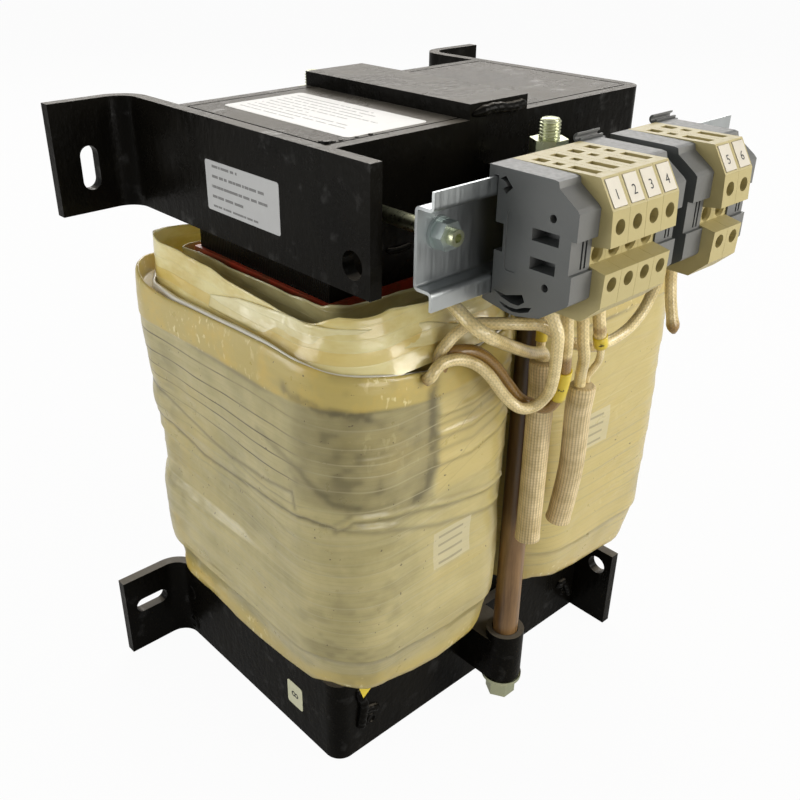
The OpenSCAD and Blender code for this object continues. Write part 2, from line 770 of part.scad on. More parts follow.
core_lower();
core_top_yoke();
on_top() bottom_free_bar();  // top_free_bar
on_top() bottom_bent_bar();  // top_bent_bar
on_top() bottom_front_plate();  // top_front_plate
on_top() bottom_back_plate();  // top_back_plate
bottom_free_bar();
bottom_bent_bar();
bottom_front_plate();
bottom_back_plate();
yoke_strap();
coil_left();
coil_right();
former_left();
former_right();
outer_collar_left();
outer_collar_right();
inner_collar_left();
inner_collar_right();
top_rod_bosses();
bottom_rod_bosses();
tie_rods();
rod_tubes();
top_rod_nuts();
bottom_rod_nuts();
top_rod_washers();
top_spring_washers();
bottom_spring_washers();
bottom_rod_washers();
rail();
rail_spacer_rods();
rail_washers();
rail_nuts();
end_bracket(term_x0);  // end_bracket_1
terminal(term_x1);  // terminal_1
terminal(term_x1 + term_w);  // terminal_2
terminal(term_x1 + 2 * term_w);  // terminal_3
terminal(term_x1 + 3 * term_w);  // terminal_4
gripped_bracket(bracket_2_x);  // end_bracket_2
end_bracket(bracket_3_x);  // end_bracket_3
terminal(term_x2);  // terminal_5
terminal(term_x2 + term_w);  // terminal_6
gripped_bracket(bracket_4_x);  // end_bracket_4
number_tags();
clamp_screws();
lead(lead_1_route);  // lead_1
lead(lead_2_route);  // lead_2
lead(lead_3_route);  // lead_3
lead(lead_4_route);  // lead_4
lead(lead_5_route);  // lead_5
lead(lead_6_route);  // lead_6
lead(lead_7_route);  // lead_7
braided_sleeve(sleeve_1_route);  // braided_sleeve_1
braided_sleeve(sleeve_2_route);  // braided_sleeve_2
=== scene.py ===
import json
import math
import random

import bmesh
import bpy
import numpy as np
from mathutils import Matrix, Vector


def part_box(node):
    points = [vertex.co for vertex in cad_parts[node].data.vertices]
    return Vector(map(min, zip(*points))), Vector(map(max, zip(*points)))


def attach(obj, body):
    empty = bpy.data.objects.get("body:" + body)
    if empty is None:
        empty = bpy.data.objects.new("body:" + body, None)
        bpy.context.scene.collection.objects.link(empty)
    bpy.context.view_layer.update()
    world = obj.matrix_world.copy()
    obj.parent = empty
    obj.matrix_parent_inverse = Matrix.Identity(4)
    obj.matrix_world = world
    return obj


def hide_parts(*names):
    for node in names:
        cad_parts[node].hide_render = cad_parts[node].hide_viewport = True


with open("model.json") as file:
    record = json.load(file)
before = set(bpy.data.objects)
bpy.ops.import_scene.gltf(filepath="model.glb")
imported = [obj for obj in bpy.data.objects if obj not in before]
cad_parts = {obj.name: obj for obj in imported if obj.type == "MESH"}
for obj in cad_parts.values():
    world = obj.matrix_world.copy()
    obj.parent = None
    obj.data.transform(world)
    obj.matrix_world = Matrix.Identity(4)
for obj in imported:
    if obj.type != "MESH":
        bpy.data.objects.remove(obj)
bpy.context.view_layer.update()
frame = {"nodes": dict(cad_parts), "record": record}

MM = 0.001

# ---- camera

camera_data = bpy.data.cameras.new("camera")
camera_data.lens = 42.52
camera_data.sensor_width = 36
camera_data.shift_x = 0.0376
camera_data.shift_y = 0.0142
camera_data.clip_start = 0.02
camera = bpy.data.objects.new("camera", camera_data)
camera.location = (-0.24741, -0.25312, 0.31451)
camera.rotation_euler = (math.radians(61.13), 0, math.radians(-41.53))
bpy.context.scene.collection.objects.link(camera)
bpy.context.scene.camera = camera
bpy.context.scene.view_settings.view_transform = "Standard"


# ---- shader helpers

class Value:
    """A node's output that can be used in sums and comparisons; each one adds a math node."""

    def __init__(self, nodes, socket):
        self.nodes, self.socket = nodes, socket

    def __add__(self, other):
        return self.nodes.math("ADD", self, other)

    def __sub__(self, other):
        return self.nodes.math("SUBTRACT", self, other)

    def __rsub__(self, other):
        return self.nodes.math("SUBTRACT", other, self)

    def __mul__(self, other):
        return self.nodes.math("MULTIPLY", self, other)

    def __lt__(self, other):
        return self.nodes.math("LESS_THAN", self, other)

    def __gt__(self, other):
        return self.nodes.math("GREATER_THAN", self, other)

    def __abs__(self):
        return self.nodes.math("ABSOLUTE", self)


class Nodes:
    """A node tree with short calls for adding and joining nodes."""

    def __init__(self, tree):
        self.tree = tree

    def add(self, kind, inputs=None, **settings):
        made = self.tree.nodes.new(kind)
        for key, value in settings.items():
            setattr(made, key, value)
        for key, value in (inputs or {}).items():
            self.join(value, made.inputs[key])
        return made

    def join(self, value, socket):
        if isinstance(value, Value):
            value = value.socket
        if isinstance(value, bpy.types.NodeSocket):
            self.tree.links.new(value, socket)
        else:
            socket.default_value = value

    def value(self, kind, output, inputs=None, **settings):
        """Adds a node and returns one of its outputs."""
        return Value(self, self.add(kind, inputs, **settings).outputs[output])

    def math(self, operation, a, b=0.0):
        return self.value("ShaderNodeMath", 0, {0: a, 1: b}, operation=operation)

    def rays(self):
        """1 for what the camera sees, and 1 for what gloss and glass see."""
        rays = self.add("ShaderNodeLightPath").outputs
        return rays["Is Camera Ray"], self.math("MAXIMUM", rays["Is Glossy Ray"], rays["Is Transmission Ray"])


class Shader(Nodes):
    """A new material, with short calls for the textures and mixes used here."""

    def __init__(self, name):
        self.material = bpy.data.materials.new(name)
        self.material.use_nodes = True
        super().__init__(self.material.node_tree)
        self.surface = self.tree.nodes["Principled BSDF"]
        self.place = self.add("ShaderNodeTexCoord").outputs["Object"]

    def set(self, **values):
        """Sets or joins sockets of the surface, and returns the material."""
        for key, value in values.items():
            self.join(value, self.surface.inputs[key.replace("_", " ")])
        return self.material

    def axes(self, vector=None):
        """The three parts of a vector, or of the object's coordinates in metres."""
        node = self.add("ShaderNodeSeparateXYZ", {0: vector or self.place})
        return [Value(self, output) for output in node.outputs]

    def facing(self):
        return self.axes(self.add("ShaderNodeNewGeometry").outputs["Normal"])

    def uv(self):
        return self.axes(self.add("ShaderNodeUVMap").outputs[0])[:2]

    def attribute(self, name):
        return self.value("ShaderNodeAttribute", "Fac", attribute_name=name)

    def noise(self, scale, detail, rough, vector=None):
        return self.value("ShaderNodeTexNoise", 0, {"Scale": scale, "Detail": detail, "Roughness": rough,
                                                    "Vector": vector or self.place})

    def stretched(self, stretch, detail, rough):
        """Noise over the object's coordinates, stretched along each axis."""
        return self.noise(1, detail, rough, self.value("ShaderNodeVectorMath", 0, {0: self.place, 1: stretch},
                                                       operation="MULTIPLY"))

    def ramp(self, factor, *stops):
        """Colour or grey ramp; each stop is (position, colour or grey value)."""
        node = self.add("ShaderNodeValToRGB", {0: factor})
        elements = node.color_ramp.elements
        while len(elements) < len(stops):
            elements.new(0.5)
        for element, (position, colour) in zip(elements, stops):
            element.position = position
            element.color = rgba((colour,) * 3 if isinstance(colour, (int, float)) else colour)
        return Value(self, node.outputs[0])

    def mix(self, factor, a, b, blend="MIX"):
        return self.value("ShaderNodeMix", 2, {0: factor, 6: rgba(a), 7: rgba(b)}, data_type="RGBA",
                          blend_type=blend)

    def layered(self, colour, *layers):
        """Lays colours over each other; each layer is (share, colour)."""
        for share, over in layers:
            colour = self.mix(share, colour, over)
        return colour

    def bumps(self, *steps):
        """Bumps on top of each other; each step is (height, distance, strength)."""
        normal = None
        for height, distance, strength in steps:
            inputs = {"Height": height, "Distance": distance, "Strength": strength}
            if normal:
                inputs["Normal"] = normal
            normal = self.value("ShaderNodeBump", 0, inputs)
        return normal


def rgba(colour):
    return colour if isinstance(colour, Value) else (*colour, 1)


# ---- materials

SOFT = {"Subsurface_Radius": (0.003, 0.002, 0.001), "Subsurface_Scale": 1.0}
# BLACK_TOP_SHEEN is the strength of a painted sheen that lightens upward faces
BLACK_DUST, BLACK_TOP_SHEEN = 0.22, 0.70


def varnished_black(name, laminated=False):
    """Black dipping varnish: runs, dust and uneven gloss, over sheets where laminated, with a painted sheen
    on upward faces.
    """
    s = Shader(name)
    cloud = s.noise(38, 5, 0.6)
    dust = s.ramp(s.noise(2200, 1, 0.4), (0.0, 0.0), (0.71, 0.0), (0.78, 1.0))
    patches = s.ramp(s.noise(90, 3, 0.6), (0.46, 0.0), (0.72, 1.0))
    # painted reflection: faces that point up are made lighter and browner, as if they mirrored the bright
    # room above
    top_sheen = s.ramp(s.facing()[2], (0.80, 0.0), (0.98, 1.0)) * s.ramp(cloud, (0.2, 0.55), (0.8, 0.95))
    colour = s.layered(s.mix(cloud, (0.002, 0.002, 0.002), (0.007, 0.006, 0.004)),
                       (dust * (patches * BLACK_DUST), (0.20, 0.18, 0.14)),
                       (top_sheen * BLACK_TOP_SHEEN, (0.245, 0.222, 0.185)))
    steps = [(s.stretched((240, 240, 90), 4, 0.6), 0.00050, 0.5), (s.noise(420, 2, 0.5), 0.00020, 0.6)]
    if laminated:
        across = s.value("ShaderNodeVectorMath", 0, {0: s.place, 1: (0, 1, 0)}, operation="MULTIPLY")
        sheets = s.value("ShaderNodeTexWave", 1, {"Vector": across, "Scale": 320, "Distortion": 0.6,
                                                  "Detail": 1.0}, wave_type="BANDS", bands_direction="Y")
        steps.append((sheets, 0.00018, 0.5))
    normal = s.bumps(*steps)
    return s.set(Base_Color=colour, Specular_IOR_Level=0.05, Coat_Roughness=0.05,
                 Coat_Weight=s.ramp(s.noise(130, 3, 0.55), (0.60, 0.010), (0.74, 0.36)),
                 Roughness=s.ramp(cloud, (0.3, 0.20), (0.7, 0.36)), Normal=normal, Coat_Normal=normal)


def plated_steel(name, colour, tint, rough, grain=(90, 1400, 700)):
    """Zinc-plated steel with a faint tint that drifts, and fine marks that follow the grain."""
    s = Shader(name)
    marks = s.stretched(grain, 3, 0.6)
    return s.set(Base_Color=s.mix(s.noise(45, 3, 0.5), colour, tint), Metallic=1.0,
                 Roughness=s.ramp(marks, (0.3, rough * 0.85), (0.75, rough * 1.3)),
                 Normal=s.bumps((marks, 0.00003, 0.30)))


def moulded(name, colour, shade, front=None):
    """Moulded plastic: a slight mottle and a satin surface, with the front faces painted paler as painted
    light.
    """
    s = Shader(name)
    tone = s.mix(s.noise(90, 4, 0.6), colour, shade)
    # painted light: faces that point to the front get the paler colour, as if lit
    if front:
        tone = s.mix((s.facing()[1] < -0.35) * 0.85, tone, front)
    return s.set(Base_Color=tone, IOR=1.5, Roughness=s.ramp(s.noise(600, 3, 0.6), (0.3, 0.357), (0.7, 0.504)),
                 Normal=s.bumps((s.noise(2400, 2, 0.5), 0.00003, 0.3)))


def pressboard():
    s = Shader("red_pressboard")
    grain = s.stretched((900, 900, 300), 4, 0.7)
    sooty = s.ramp(s.noise(110, 4, 0.65), (0.42, 0.0), (0.62, 0.75))
    colour = s.layered(s.mix(grain, (0.30, 0.022, 0.010), (0.50, 0.060, 0.020)),
                       (sooty, (0.16, 0.060, 0.022)))
    return s.set(Base_Color=colour, Roughness=0.42, Coat_Weight=0.15, Coat_Roughness=0.25,
                 Normal=s.bumps((grain, 0.00006, 0.4)))


def varnished_fibre():
    """Brown laminated-paper tube with runs of varnish, darker towards the top."""
    s = Shader("varnished_fibre")
    along = s.stretched((500, 500, 40), 4, 0.6)
    colour = s.ramp(along, (0.3, (0.105, 0.052, 0.016)), (0.55, (0.215, 0.118, 0.042)),
                    (0.8, (0.30, 0.18, 0.075)))
    # darker towards the top
    top_darkening = s.ramp(s.axes()[2] * 5.0 + along * 0.10, (0.42, 0.0), (0.66, 0.45), (0.84, 0.82))
    return s.set(Base_Color=s.mix(top_darkening, colour, (0.022, 0.009, 0.003)), Roughness=0.34, Coat_Weight=0.35,
                 Coat_Roughness=0.14, Normal=s.bumps((along, 0.00012, 0.4)))


def tape_edges(s, along, spacing, width, seed):
    """Irregular tape edges: a thin line at each, and one value for each turn of tape."""
    cells = {"W": along * (1 / spacing) + seed, "Scale": 1.0}
    line = s.value("ShaderNodeTexVoronoi", "Distance", cells, voronoi_dimensions="1D",
                   feature="DISTANCE_TO_EDGE")
    tone = s.value("ShaderNodeTexVoronoi", "Color", cells, voronoi_dimensions="1D")
    share = width / spacing
    return s.ramp(line, (0.0, 1.0), (share, 1.0), (2.2 * share, 0.0)), s.axes(tone)[0]


def wrapped_tape(name, dark, light, pool, slip_box):
    """Translucent tape over a winding: turns, diagonal laps, amber varnish at both ends, stains, painted
    shade along tape edges and folds, and painted highlights along some laps.

    slip_box is a pale slip under the tape, as (x0, x1, z0, z1) on the front face in mm."""
    s = Shader(name)
    x, y, z = s.axes()
    height = z + ((s.noise(11, 1, 0.5) - 0.5) * 0.012 + (s.noise(60, 1, 0.5) - 0.5) * 0.0007)
    laps, lap_tone = tape_edges(s, height, 0.0066, 0.00017, 3.0)
    fine, fine_tone = tape_edges(s, height, 0.0019, 0.00008, 9.0)
    slant, slant_tone = tape_edges(s, height + x * -0.45, 0.0105, 0.00012, 5.0)
    leaning, amber, crisp = s.attribute("slant"), s.attribute("amber"), s.attribute("crisp")
    tone, line = s.mix(leaning, lap_tone, slant_tone), s.mix(leaning, laps, slant)
    here = s.ramp(s.noise(24, 2, 0.5), (0.36, 0.30), (0.52, 1.0)) * (1 - amber)
    drops = s.ramp(s.stretched((520, 520, 300), 2, 0.5), (0.60, 0.0), (0.66, 0.75))
    drops = drops * s.ramp(s.noise(38, 1, 0.5), (0.48, 0.0), (0.60, 1.0))
    x0, x1, z0, z1 = (value * MM for value in slip_box)
    slip = (y < -0.05) * ((x > x0) * (x < x1)) * ((z > z0) * (z < z1))
    row = s.math("FRACT", (z - z0) * (1 / (0.24 * (z1 - z0))))
    ruled = (abs(row - 0.5) < 0.13) * ((x > x0 + 2.5 * MM) * (x < x1 - 4 * MM))
    colour = s.layered(
        s.ramp(s.noise(48, 5, 0.6), (0.30, dark), (0.70, light)),
        (s.ramp(tone, (0.0, 0.0), (1.0, 0.40)), light),
        (s.ramp(fine_tone, (0.5, 0.0), (1.0, 0.14)), dark),
        (s.ramp(s.stretched((24, 24, 500), 4, 0.65), (0.46, 0.0), (0.76, 0.30)), (0.62, 0.55, 0.31)),
        (s.attribute("warm") * 0.75, (0.60, 0.485, 0.175)),
        (amber * 0.9, pool),
        # stains, and the painted shade of folds, laps and the front-left corner
        (s.attribute("stain_and_shade") * 0.85, (0.085, 0.068, 0.022)),
        # painted shadow: a dark line at each tape edge
        (line * here * s.mix(leaning, (0.9,) * 3, (0.42,) * 3) * crisp, (0.070, 0.055, 0.012)),
        # painted highlight: pale lines at the lap edges where the dark lines are weak
        ((1 - crisp) * (laps * here) * 0.38, (0.66, 0.60, 0.36)),
        # painted shadow: faint dark lines at the fine tape edges
        (fine * here * 0.12, (0.15, 0.125, 0.055)),
        (s.ramp(s.noise(60, 4, 0.6), (0.52, 0.0), (0.70, 0.6)) * amber, (0.66, 0.46, 0.09)),
        (drops * amber, (0.78, 0.69, 0.36)),
        (s.ramp(s.noise(640, 1, 0.4), (0.0, 0.0), (0.765, 0.0), (0.785, 0.8)), (0.10, 0.075, 0.035)),
        (slip * 0.62, (0.60, 0.55, 0.36)),
        (slip * ruled * 0.6, (0.24, 0.21, 0.13)))
    normal = s.bumps((tone * (1 - amber), 0.00035, 0.5),
                     (line * here * s.mix(leaning, (1.0,) * 3, (0.25,) * 3), 0.00022, -0.6),
                     (fine_tone, 0.00008, 0.5), (s.stretched((45, 45, 150), 2, 0.5), 0.0010, 0.45),
                     (s.noise(1500, 2, 0.5), 0.00005, 0.4))
    return s.set(Base_Color=colour, Coat_Weight=0.5, Coat_Roughness=0.14, Subsurface_Weight=0.10, **SOFT,
                 Roughness=s.ramp(s.noise(120, 4, 0.6), (0.3, 0.26), (0.7, 0.50)),
                 Normal=normal, Coat_Normal=normal)


def film(name, dark, light, pool):
    """Glossy polyester film in turns, milky where it is clean and amber where varnish pooled."""
    s = Shader(name)
    drift = (s.noise(18, 2, 0.5) - 0.5) * 0.006
    line, tone = tape_edges(s, s.axes()[2] + drift, 0.0046, 0.00012, 2.0)
    colour = s.layered(s.ramp(s.stretched((32, 32, 90), 4, 0.6), (0.34, dark), (0.60, light)),
                       (s.ramp(tone, (0.55, 0.0), (1.0, 0.65)), pool), (line * 0.10, (0.80, 0.74, 0.52)))
    normal = s.bumps((s.stretched((60, 60, 140), 3, 0.5), 0.0010, 0.5), (s.noise(420, 3, 0.6), 0.00012, 0.5),
                     (line, 0.00012, 0.4))
    return s.set(Base_Color=colour, Roughness=0.26, Coat_Weight=0.55, Coat_Roughness=0.15,
                 Subsurface_Weight=0.12, **SOFT, Normal=normal, Coat_Normal=normal)


def sleeving(name, dark, light, strands, pitch, ribs, gloss, depth, low, soaked=None, square=False):
    """Woven sleeve: bumps in columns along the tube, with painted shade in the hollows of the weave. UV runs
    round the tube and along it in metres.

    Where the attribute "soaked" is 1, varnish has turned the sleeve brown."""
    s = Shader(name)
    around, along = s.uv()
    turns, steps = around * strands, along * (1 / pitch)
    phases = [turns, steps] if square else [turns + steps, turns - steps]
    first, second, columns = (abs(s.math("SINE", phase * math.pi)) for phase in (*phases, around * ribs))
    weave = first * second * 0.6 + columns * 0.4
    colour = s.ramp(s.noise(150, 4, 0.6), (0.3, dark), (0.62, light))
    shade = s.ramp(weave, (0.10, low), (0.60, 1.0))
    if soaked:
        brown = s.mix(s.noise(210, 3, 0.6), soaked, tuple(0.45 * c for c in soaked))
        colour = s.mix(s.attribute("soaked"), colour, brown)
        shade = s.mix(0.35, shade, (1, 1, 1))
    return s.set(Base_Color=s.mix(1.0, colour, shade, "MULTIPLY"), Roughness=0.55 - 0.25 * gloss,
                 Coat_Weight=gloss, Coat_Roughness=0.08, Normal=s.bumps((weave, depth, 0.7)))


def printed_card(name, paper, print_colour, rows, border):
    """Card with ruled rows in place of writing."""
    s = Shader(name)
    u, v = s.uv()
    edge = s.math("MINIMUM", s.math("MINIMUM", u, 1 - u), s.math("MINIMUM", v, 1 - v))
    number, inside = s.math("FLOOR", v * rows), s.math("FRACT", v * rows)
    reach = s.value("ShaderNodeTexWhiteNoise", "Value", {"W": number}, noise_dimensions="1D")
    words = s.noise(1, 1, 0.5, s.value("ShaderNodeCombineXYZ", 0, {0: u * 30, 1: number}))
    ruled = (inside > 0.34) * (inside < 0.62) * (u < reach * 0.45 + 0.45) * (words > 0.42) * (edge > border)
    tone = s.mix(s.noise(300, 3, 0.6), paper, tuple(0.90 * c for c in paper))
    return s.set(Base_Color=s.mix(ruled * 0.85, tone, print_colour), Roughness=0.35, Coat_Weight=0.3,
                 Coat_Roughness=0.15, Normal=s.bumps((s.noise(900, 2, 0.5), 0.00003, 0.4)))


def plain(name, colour, rough=0.5, coat=0.0):
    s = Shader(name)
    tone = s.mix(s.noise(260, 4, 0.6), colour, tuple(0.82 * c for c in colour))
    return s.set(Base_Color=tone, Roughness=rough, Coat_Weight=coat,
                 Normal=s.bumps((s.noise(1800, 2, 0.5), 0.00003, 0.4)))


core_look = varnished_black("laminated_core", laminated=True)
paint_look = varnished_black("varnished_frame")
yellow_zinc = plated_steel("yellow_zinc", (0.66, 0.62, 0.40), (0.52, 0.60, 0.42), 0.30)
rail_zinc = plated_steel("rail_zinc", (0.50, 0.52, 0.53), (0.42, 0.45, 0.46), 0.36, (1100, 300, 60))
plain_zinc = plated_steel("plain_zinc", (0.50, 0.56, 0.55), (0.42, 0.48, 0.47), 0.36)
# the third colour is the front faces painted paler, as painted light
grey_plastic = moulded("grey_moulding", (0.100, 0.107, 0.108), (0.085, 0.092, 0.092), (0.17, 0.172, 0.168))
beige_plastic = moulded("beige_moulding", (0.51, 0.435, 0.205), (0.465, 0.395, 0.175))
white_card = plain("white_tag", (0.80, 0.745, 0.63), 0.35, 0.3)
ink = plain("black_ink", (0.012, 0.012, 0.012))
tape_left = wrapped_tape("coil_tape_left", (0.31, 0.27, 0.110), (0.53, 0.46, 0.215), (0.51, 0.40, 0.110),
                         (-52, -33, 101, 116.6))
tape_right = wrapped_tape("coil_tape_right", (0.37, 0.31, 0.120), (0.52, 0.44, 0.190), (0.56, 0.44, 0.145),
                          (24, 46, 118, 134))
film_amber = film("film_amber", (0.66, 0.50, 0.145), (0.86, 0.76, 0.37), (0.72, 0.50, 0.10))
film_milky = film("film_milky", (0.40, 0.34, 0.15), (0.58, 0.52, 0.26), (0.50, 0.38, 0.11))
film_pale = film("film_pale", (0.70, 0.58, 0.24), (0.90, 0.82, 0.48), (0.78, 0.66, 0.29))
white_film = plain("white_film", (0.88, 0.85, 0.74), 0.25, 0.5)
lead_look = sleeving("varnished_lead", (0.60, 0.46, 0.18), (0.94, 0.78, 0.41), 9, 0.0014, 11, 0.8,
                     0.00016, 0.60, (0.42, 0.235, 0.045))
braid_look = sleeving("cream_braid", (0.60, 0.465, 0.225), (0.84, 0.68, 0.395), 26, 0.0012, 26, 0.10,
                      0.00025, 0.66, square=True)
marker_look = plain("yellow_marker", (0.78, 0.60, 0.04), 0.35, 0.3)
yellow_film = plain("yellow_film", (0.80, 0.62, 0.03), 0.3, 0.4)
rating_card = printed_card("rating_card", (0.86, 0.86, 0.84), (0.16, 0.16, 0.16), 11, 0.06)
grey_card = printed_card("grey_card", (0.50, 0.51, 0.52), (0.10, 0.10, 0.10), 5, 0.08)
number_card = plain("number_card", (0.74, 0.74, 0.52), 0.35, 0.3)

# material and bevel in mm (0 for none) for each slot of the record
SLOT_LOOKS = {
    "core_varnish": (core_look, 0.6), "frame_paint": (paint_look, 1.1), "winding_wrap": (tape_left, 0),
    "former_board": (pressboard(), 0), "insulating_film": (film_amber, 0),
    "fibre_tube": (varnished_fibre(), 0), "yellow_zinc": (yellow_zinc, 0.25), "rail_zinc": (rail_zinc, 0.2),
    "plain_zinc": (plain_zinc, 0.15), "bracket_grey": (grey_plastic, 0.25),
    "terminal_beige": (beige_plastic, 0.3), "tag_white": (white_card, 0), "lead_sleeving": (lead_look, 0),
    "braid": (braid_look, 0),
}


# ---- CAD nodes

def dress_cad_nodes():
    """Each CAD node gets the look of its slot and a small bevel on its sharp edges."""
    for entry in frame["record"]["subparts"]:
        piece = frame["nodes"][entry["node"]]
        look, width = SLOT_LOOKS[entry["material_slot"]]
        if not piece.material_slots:
            piece.data.materials.append(look)
        for place in piece.material_slots:
            place.material = look
        if width and entry["node"] != "rail_spacer_rods":
            bevel = piece.modifiers.new("edge", "BEVEL")
            bevel.width = width * MM
            bevel.segments = 2
            bevel.limit_method = "ANGLE"
            bevel.angle_limit = math.radians(40)


# ---- mesh helpers

def add_piece(name, vertices, faces, look, smooth=True, replaces=()):
    """Makes a mesh piece that rides on the transformer."""
    mesh = bpy.data.meshes.new(name)
    mesh.from_pydata([tuple(v) for v in vertices], [], faces)
    mesh.validate()
    mesh.polygons.foreach_set("use_smooth", [smooth] * len(mesh.polygons))
    mesh.materials.append(look)
    piece = bpy.data.objects.new(name, mesh)
    bpy.context.scene.collection.objects.link(piece)
    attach(piece, "root")
    if replaces:
        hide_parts(*replaces)
    return piece


def add_uv(piece, uvs):
    layer = piece.data.uv_layers.new(name="UVMap")
    for corner in piece.data.loops:
        layer.data[corner.index].uv = uvs[corner.vertex_index]


def set_attribute(piece, name, values):
    layer = piece.data.attributes.new(name, "FLOAT", "POINT")
    layer.data.foreach_set("value", np.asarray(values, np.float32))


def box_mm(node):
    """Low corner, high corner, middle and half size of a CAD node, in mm."""
    low, high = (np.array(c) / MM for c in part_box(node))
    return low, high, (low + high) / 2, (high - low) / 2


def ring_faces(rings, sides, start=0, foot=False, head=False):
    """Quads between closed rings of points, with flat ends where asked."""
    faces = []
    for i in range(start, start + (rings - 1) * sides, sides):
        for k in range(sides):
            a, b = i + k, i + (k + 1) % sides
            faces.append((a, b, b + sides, a + sides))
    if foot:
        faces.append([start + k for k in range(sides)][::-1])
    if head:
        faces.append([start + (rings - 1) * sides + k for k in range(sides)])
    return faces


def card(name, corner, size, look, up=(0, 0, 1), along=(0, -1, 0), round_by=1.6, thick=0.12):
    """A thin card with round corners: its lower left corner, size in mm and two directions."""
    corner, along, up = Vector(corner), Vector(along), Vector(up)
    out = along.cross(up)
    right, top = size[0] - round_by, size[1] - round_by
    outline = []
    for (cx, cy), start in (((right, round_by), -90), ((right, top), 0), ((round_by, top), 90),
                            ((round_by, round_by), 180)):
        for k in range(6):
            a = math.radians(start + 18 * k)
            outline.append((cx + round_by * math.cos(a), cy + round_by * math.sin(a)))
    vertices = [(corner + x * along + y * up + height * out) * MM
                for height in (0, thick) for x, y in outline]
    piece = add_piece(name, vertices, ring_faces(2, len(outline), 0, True, True), look,
                      smooth=False)
    add_uv(piece, [(x / size[0], y / size[1]) for x, y in outline] * 2)


def digit(name, body, height, bend):
    """A printed digit; bend(x, y) places each point, with x and y in mm from its middle."""
    curve = bpy.data.curves.new(name + "_curve", "FONT")
    curve.body = body
    curve.size = 1.0
    curve.align_x = "CENTER"
    carrier = bpy.data.objects.new(name + "_carrier", curve)
    bpy.context.scene.collection.objects.link(carrier)
    flat = bpy.data.meshes.new_from_object(carrier.evaluated_get(bpy.context.evaluated_depsgraph_get()))
    bpy.data.objects.remove(carrier)
    bpy.data.curves.remove(curve)
    levels = [v.co.y for v in flat.vertices]
    scale = height / (max(levels) - min(levels))
    middle = (max(levels) + min(levels)) / 2
    shape = bmesh.new()
    shape.from_mesh(flat)
    bpy.data.meshes.remove(flat)
    bmesh.ops.remove_doubles(shape, verts=shape.verts, dist=0.0005)
    bmesh.ops.subdivide_edges(shape, edges=shape.edges, cuts=2, use_grid_fill=True)
    vertices = [Vector(bend(v.co.x * scale, (v.co.y - middle) * scale)) * MM for v in shape.verts]
    shape.verts.index_update()
    faces = [[v.index for v in f.verts] for f in shape.faces]
    shape.free()
    add_piece(name, vertices, faces, ink, smooth=False)


def smoothstep(x):
    x = np.clip(x, 0, 1)
    return x * x * (3 - 2 * x)


def step(x, start, width):
    """Smooth rise from 0 to 1 over a width that begins at start; a fall where width is below 0."""
    return smoothstep((x - start) / width)


def value_noise(u, v, cells_u, cells_v, seed):
    """Smooth noise from -1 to 1. u wraps round after 1, v runs from 0 to 1."""
    lattice = np.random.RandomState(seed).uniform(-1, 1, (cells_u, cells_v + 2))
    x = np.mod(u, 1) * cells_u
    y = np.clip(v, 0, 1) * cells_v
    i = np.floor(x).astype(int) % cells_u
    j = np.floor(y).astype(int)
    fx = smoothstep(x - np.floor(x))
    fy = smoothstep(y - j)
    k = (i + 1) % cells_u
    low = lattice[i, j] * (1 - fx) + lattice[k, j] * fx
    high = lattice[i, j + 1] * (1 - fx) + lattice[k, j + 1] * fx
    return low * (1 - fy) + high * fy


def wave(u, cells, seed):
    """Smooth noise from -1 to 1 that depends on the share round an outline only."""
    return value_noise(u, 0 * u, cells, 1, seed)


def along_table(x, table):
    """Value at x from a table of (x, value) pairs."""
    return np.interp(x, *zip(*table))


def rounded_path(half_x, half_y, radius, count):
    """Points, outward normals and distance shares round a rounded rectangle, anticlockwise."""
    flat_x, flat_y = 2 * (half_x - radius), 2 * (half_y - radius)
    arc = math.pi * radius / 2
    sides = [(flat_y, (half_x, -half_y + radius), 0), (flat_x, (half_x - radius, half_y), 90),
             (flat_y, (-half_x, half_y - radius), 180), (flat_x, (-half_x + radius, -half_y), 270)]
    total = 2 * flat_x + 2 * flat_y + 4 * arc
    points, normals = [], []
    for n in range(count):
        rest = n * total / count
        for length, (x, y), angle in sides:
            a = math.radians(angle)
            if rest < length:
                points.append((x - math.sin(a) * rest, y + math.cos(a) * rest))
                normals.append((math.cos(a), math.sin(a)))
                break
            rest -= length
            if rest < arc:
                b = a + rest / radius
                points.append((x - math.sin(a) * length + (math.cos(b) - math.cos(a)) * radius,
                               y + math.cos(a) * length + (math.sin(b) - math.sin(a)) * radius))
                normals.append((math.cos(b), math.sin(b)))
                break
            rest -= arc
    return np.array(points), np.array(normals), np.arange(count) / count


def corner_shares(half_x, half_y, radius):
    """Distance shares at which the sides and corners of a rounded rectangle start."""
    flat_x, flat_y, arc = 2 * (half_x - radius), 2 * (half_y - radius), math.pi * radius / 2
    steps = np.cumsum([0, flat_y, arc, flat_x, arc, flat_y, arc, flat_x, arc])
    return steps / steps[-1]


# ---- windings

COIL_RADIUS = 26
OUTLINE = 415.8  # distance round a winding in mm
COIL_CORNERS = corner_shares(47.3, 67.8, COIL_RADIUS)
COIL_COLUMNS, WALL_ROWS, EDGE_COLUMNS = 480, 184, 300

# inset from the outer face and height above the bottom, in mm
COIL_FOOT = [(22, 2.2), (15, 1.2), (11, 0.5), (8.2, 0.4), (6.4, 1.3), (5.1, 3), (4.1, 5.5), (3.2, 8.5),
    (2.3, 12), (1.5, 16), (0.8, 20)]
# inset and depth below the top
COIL_LIP = [(0.1, 5), (0.25, 3.2), (0.5, 1.6), (0.85, 0.6), (1.3, 0.1), (1.75, 0.05), (2, 0.4), (2.15, 1.2),
    (3.2, 2.2), (8, 2.8), (20, 2.8)]
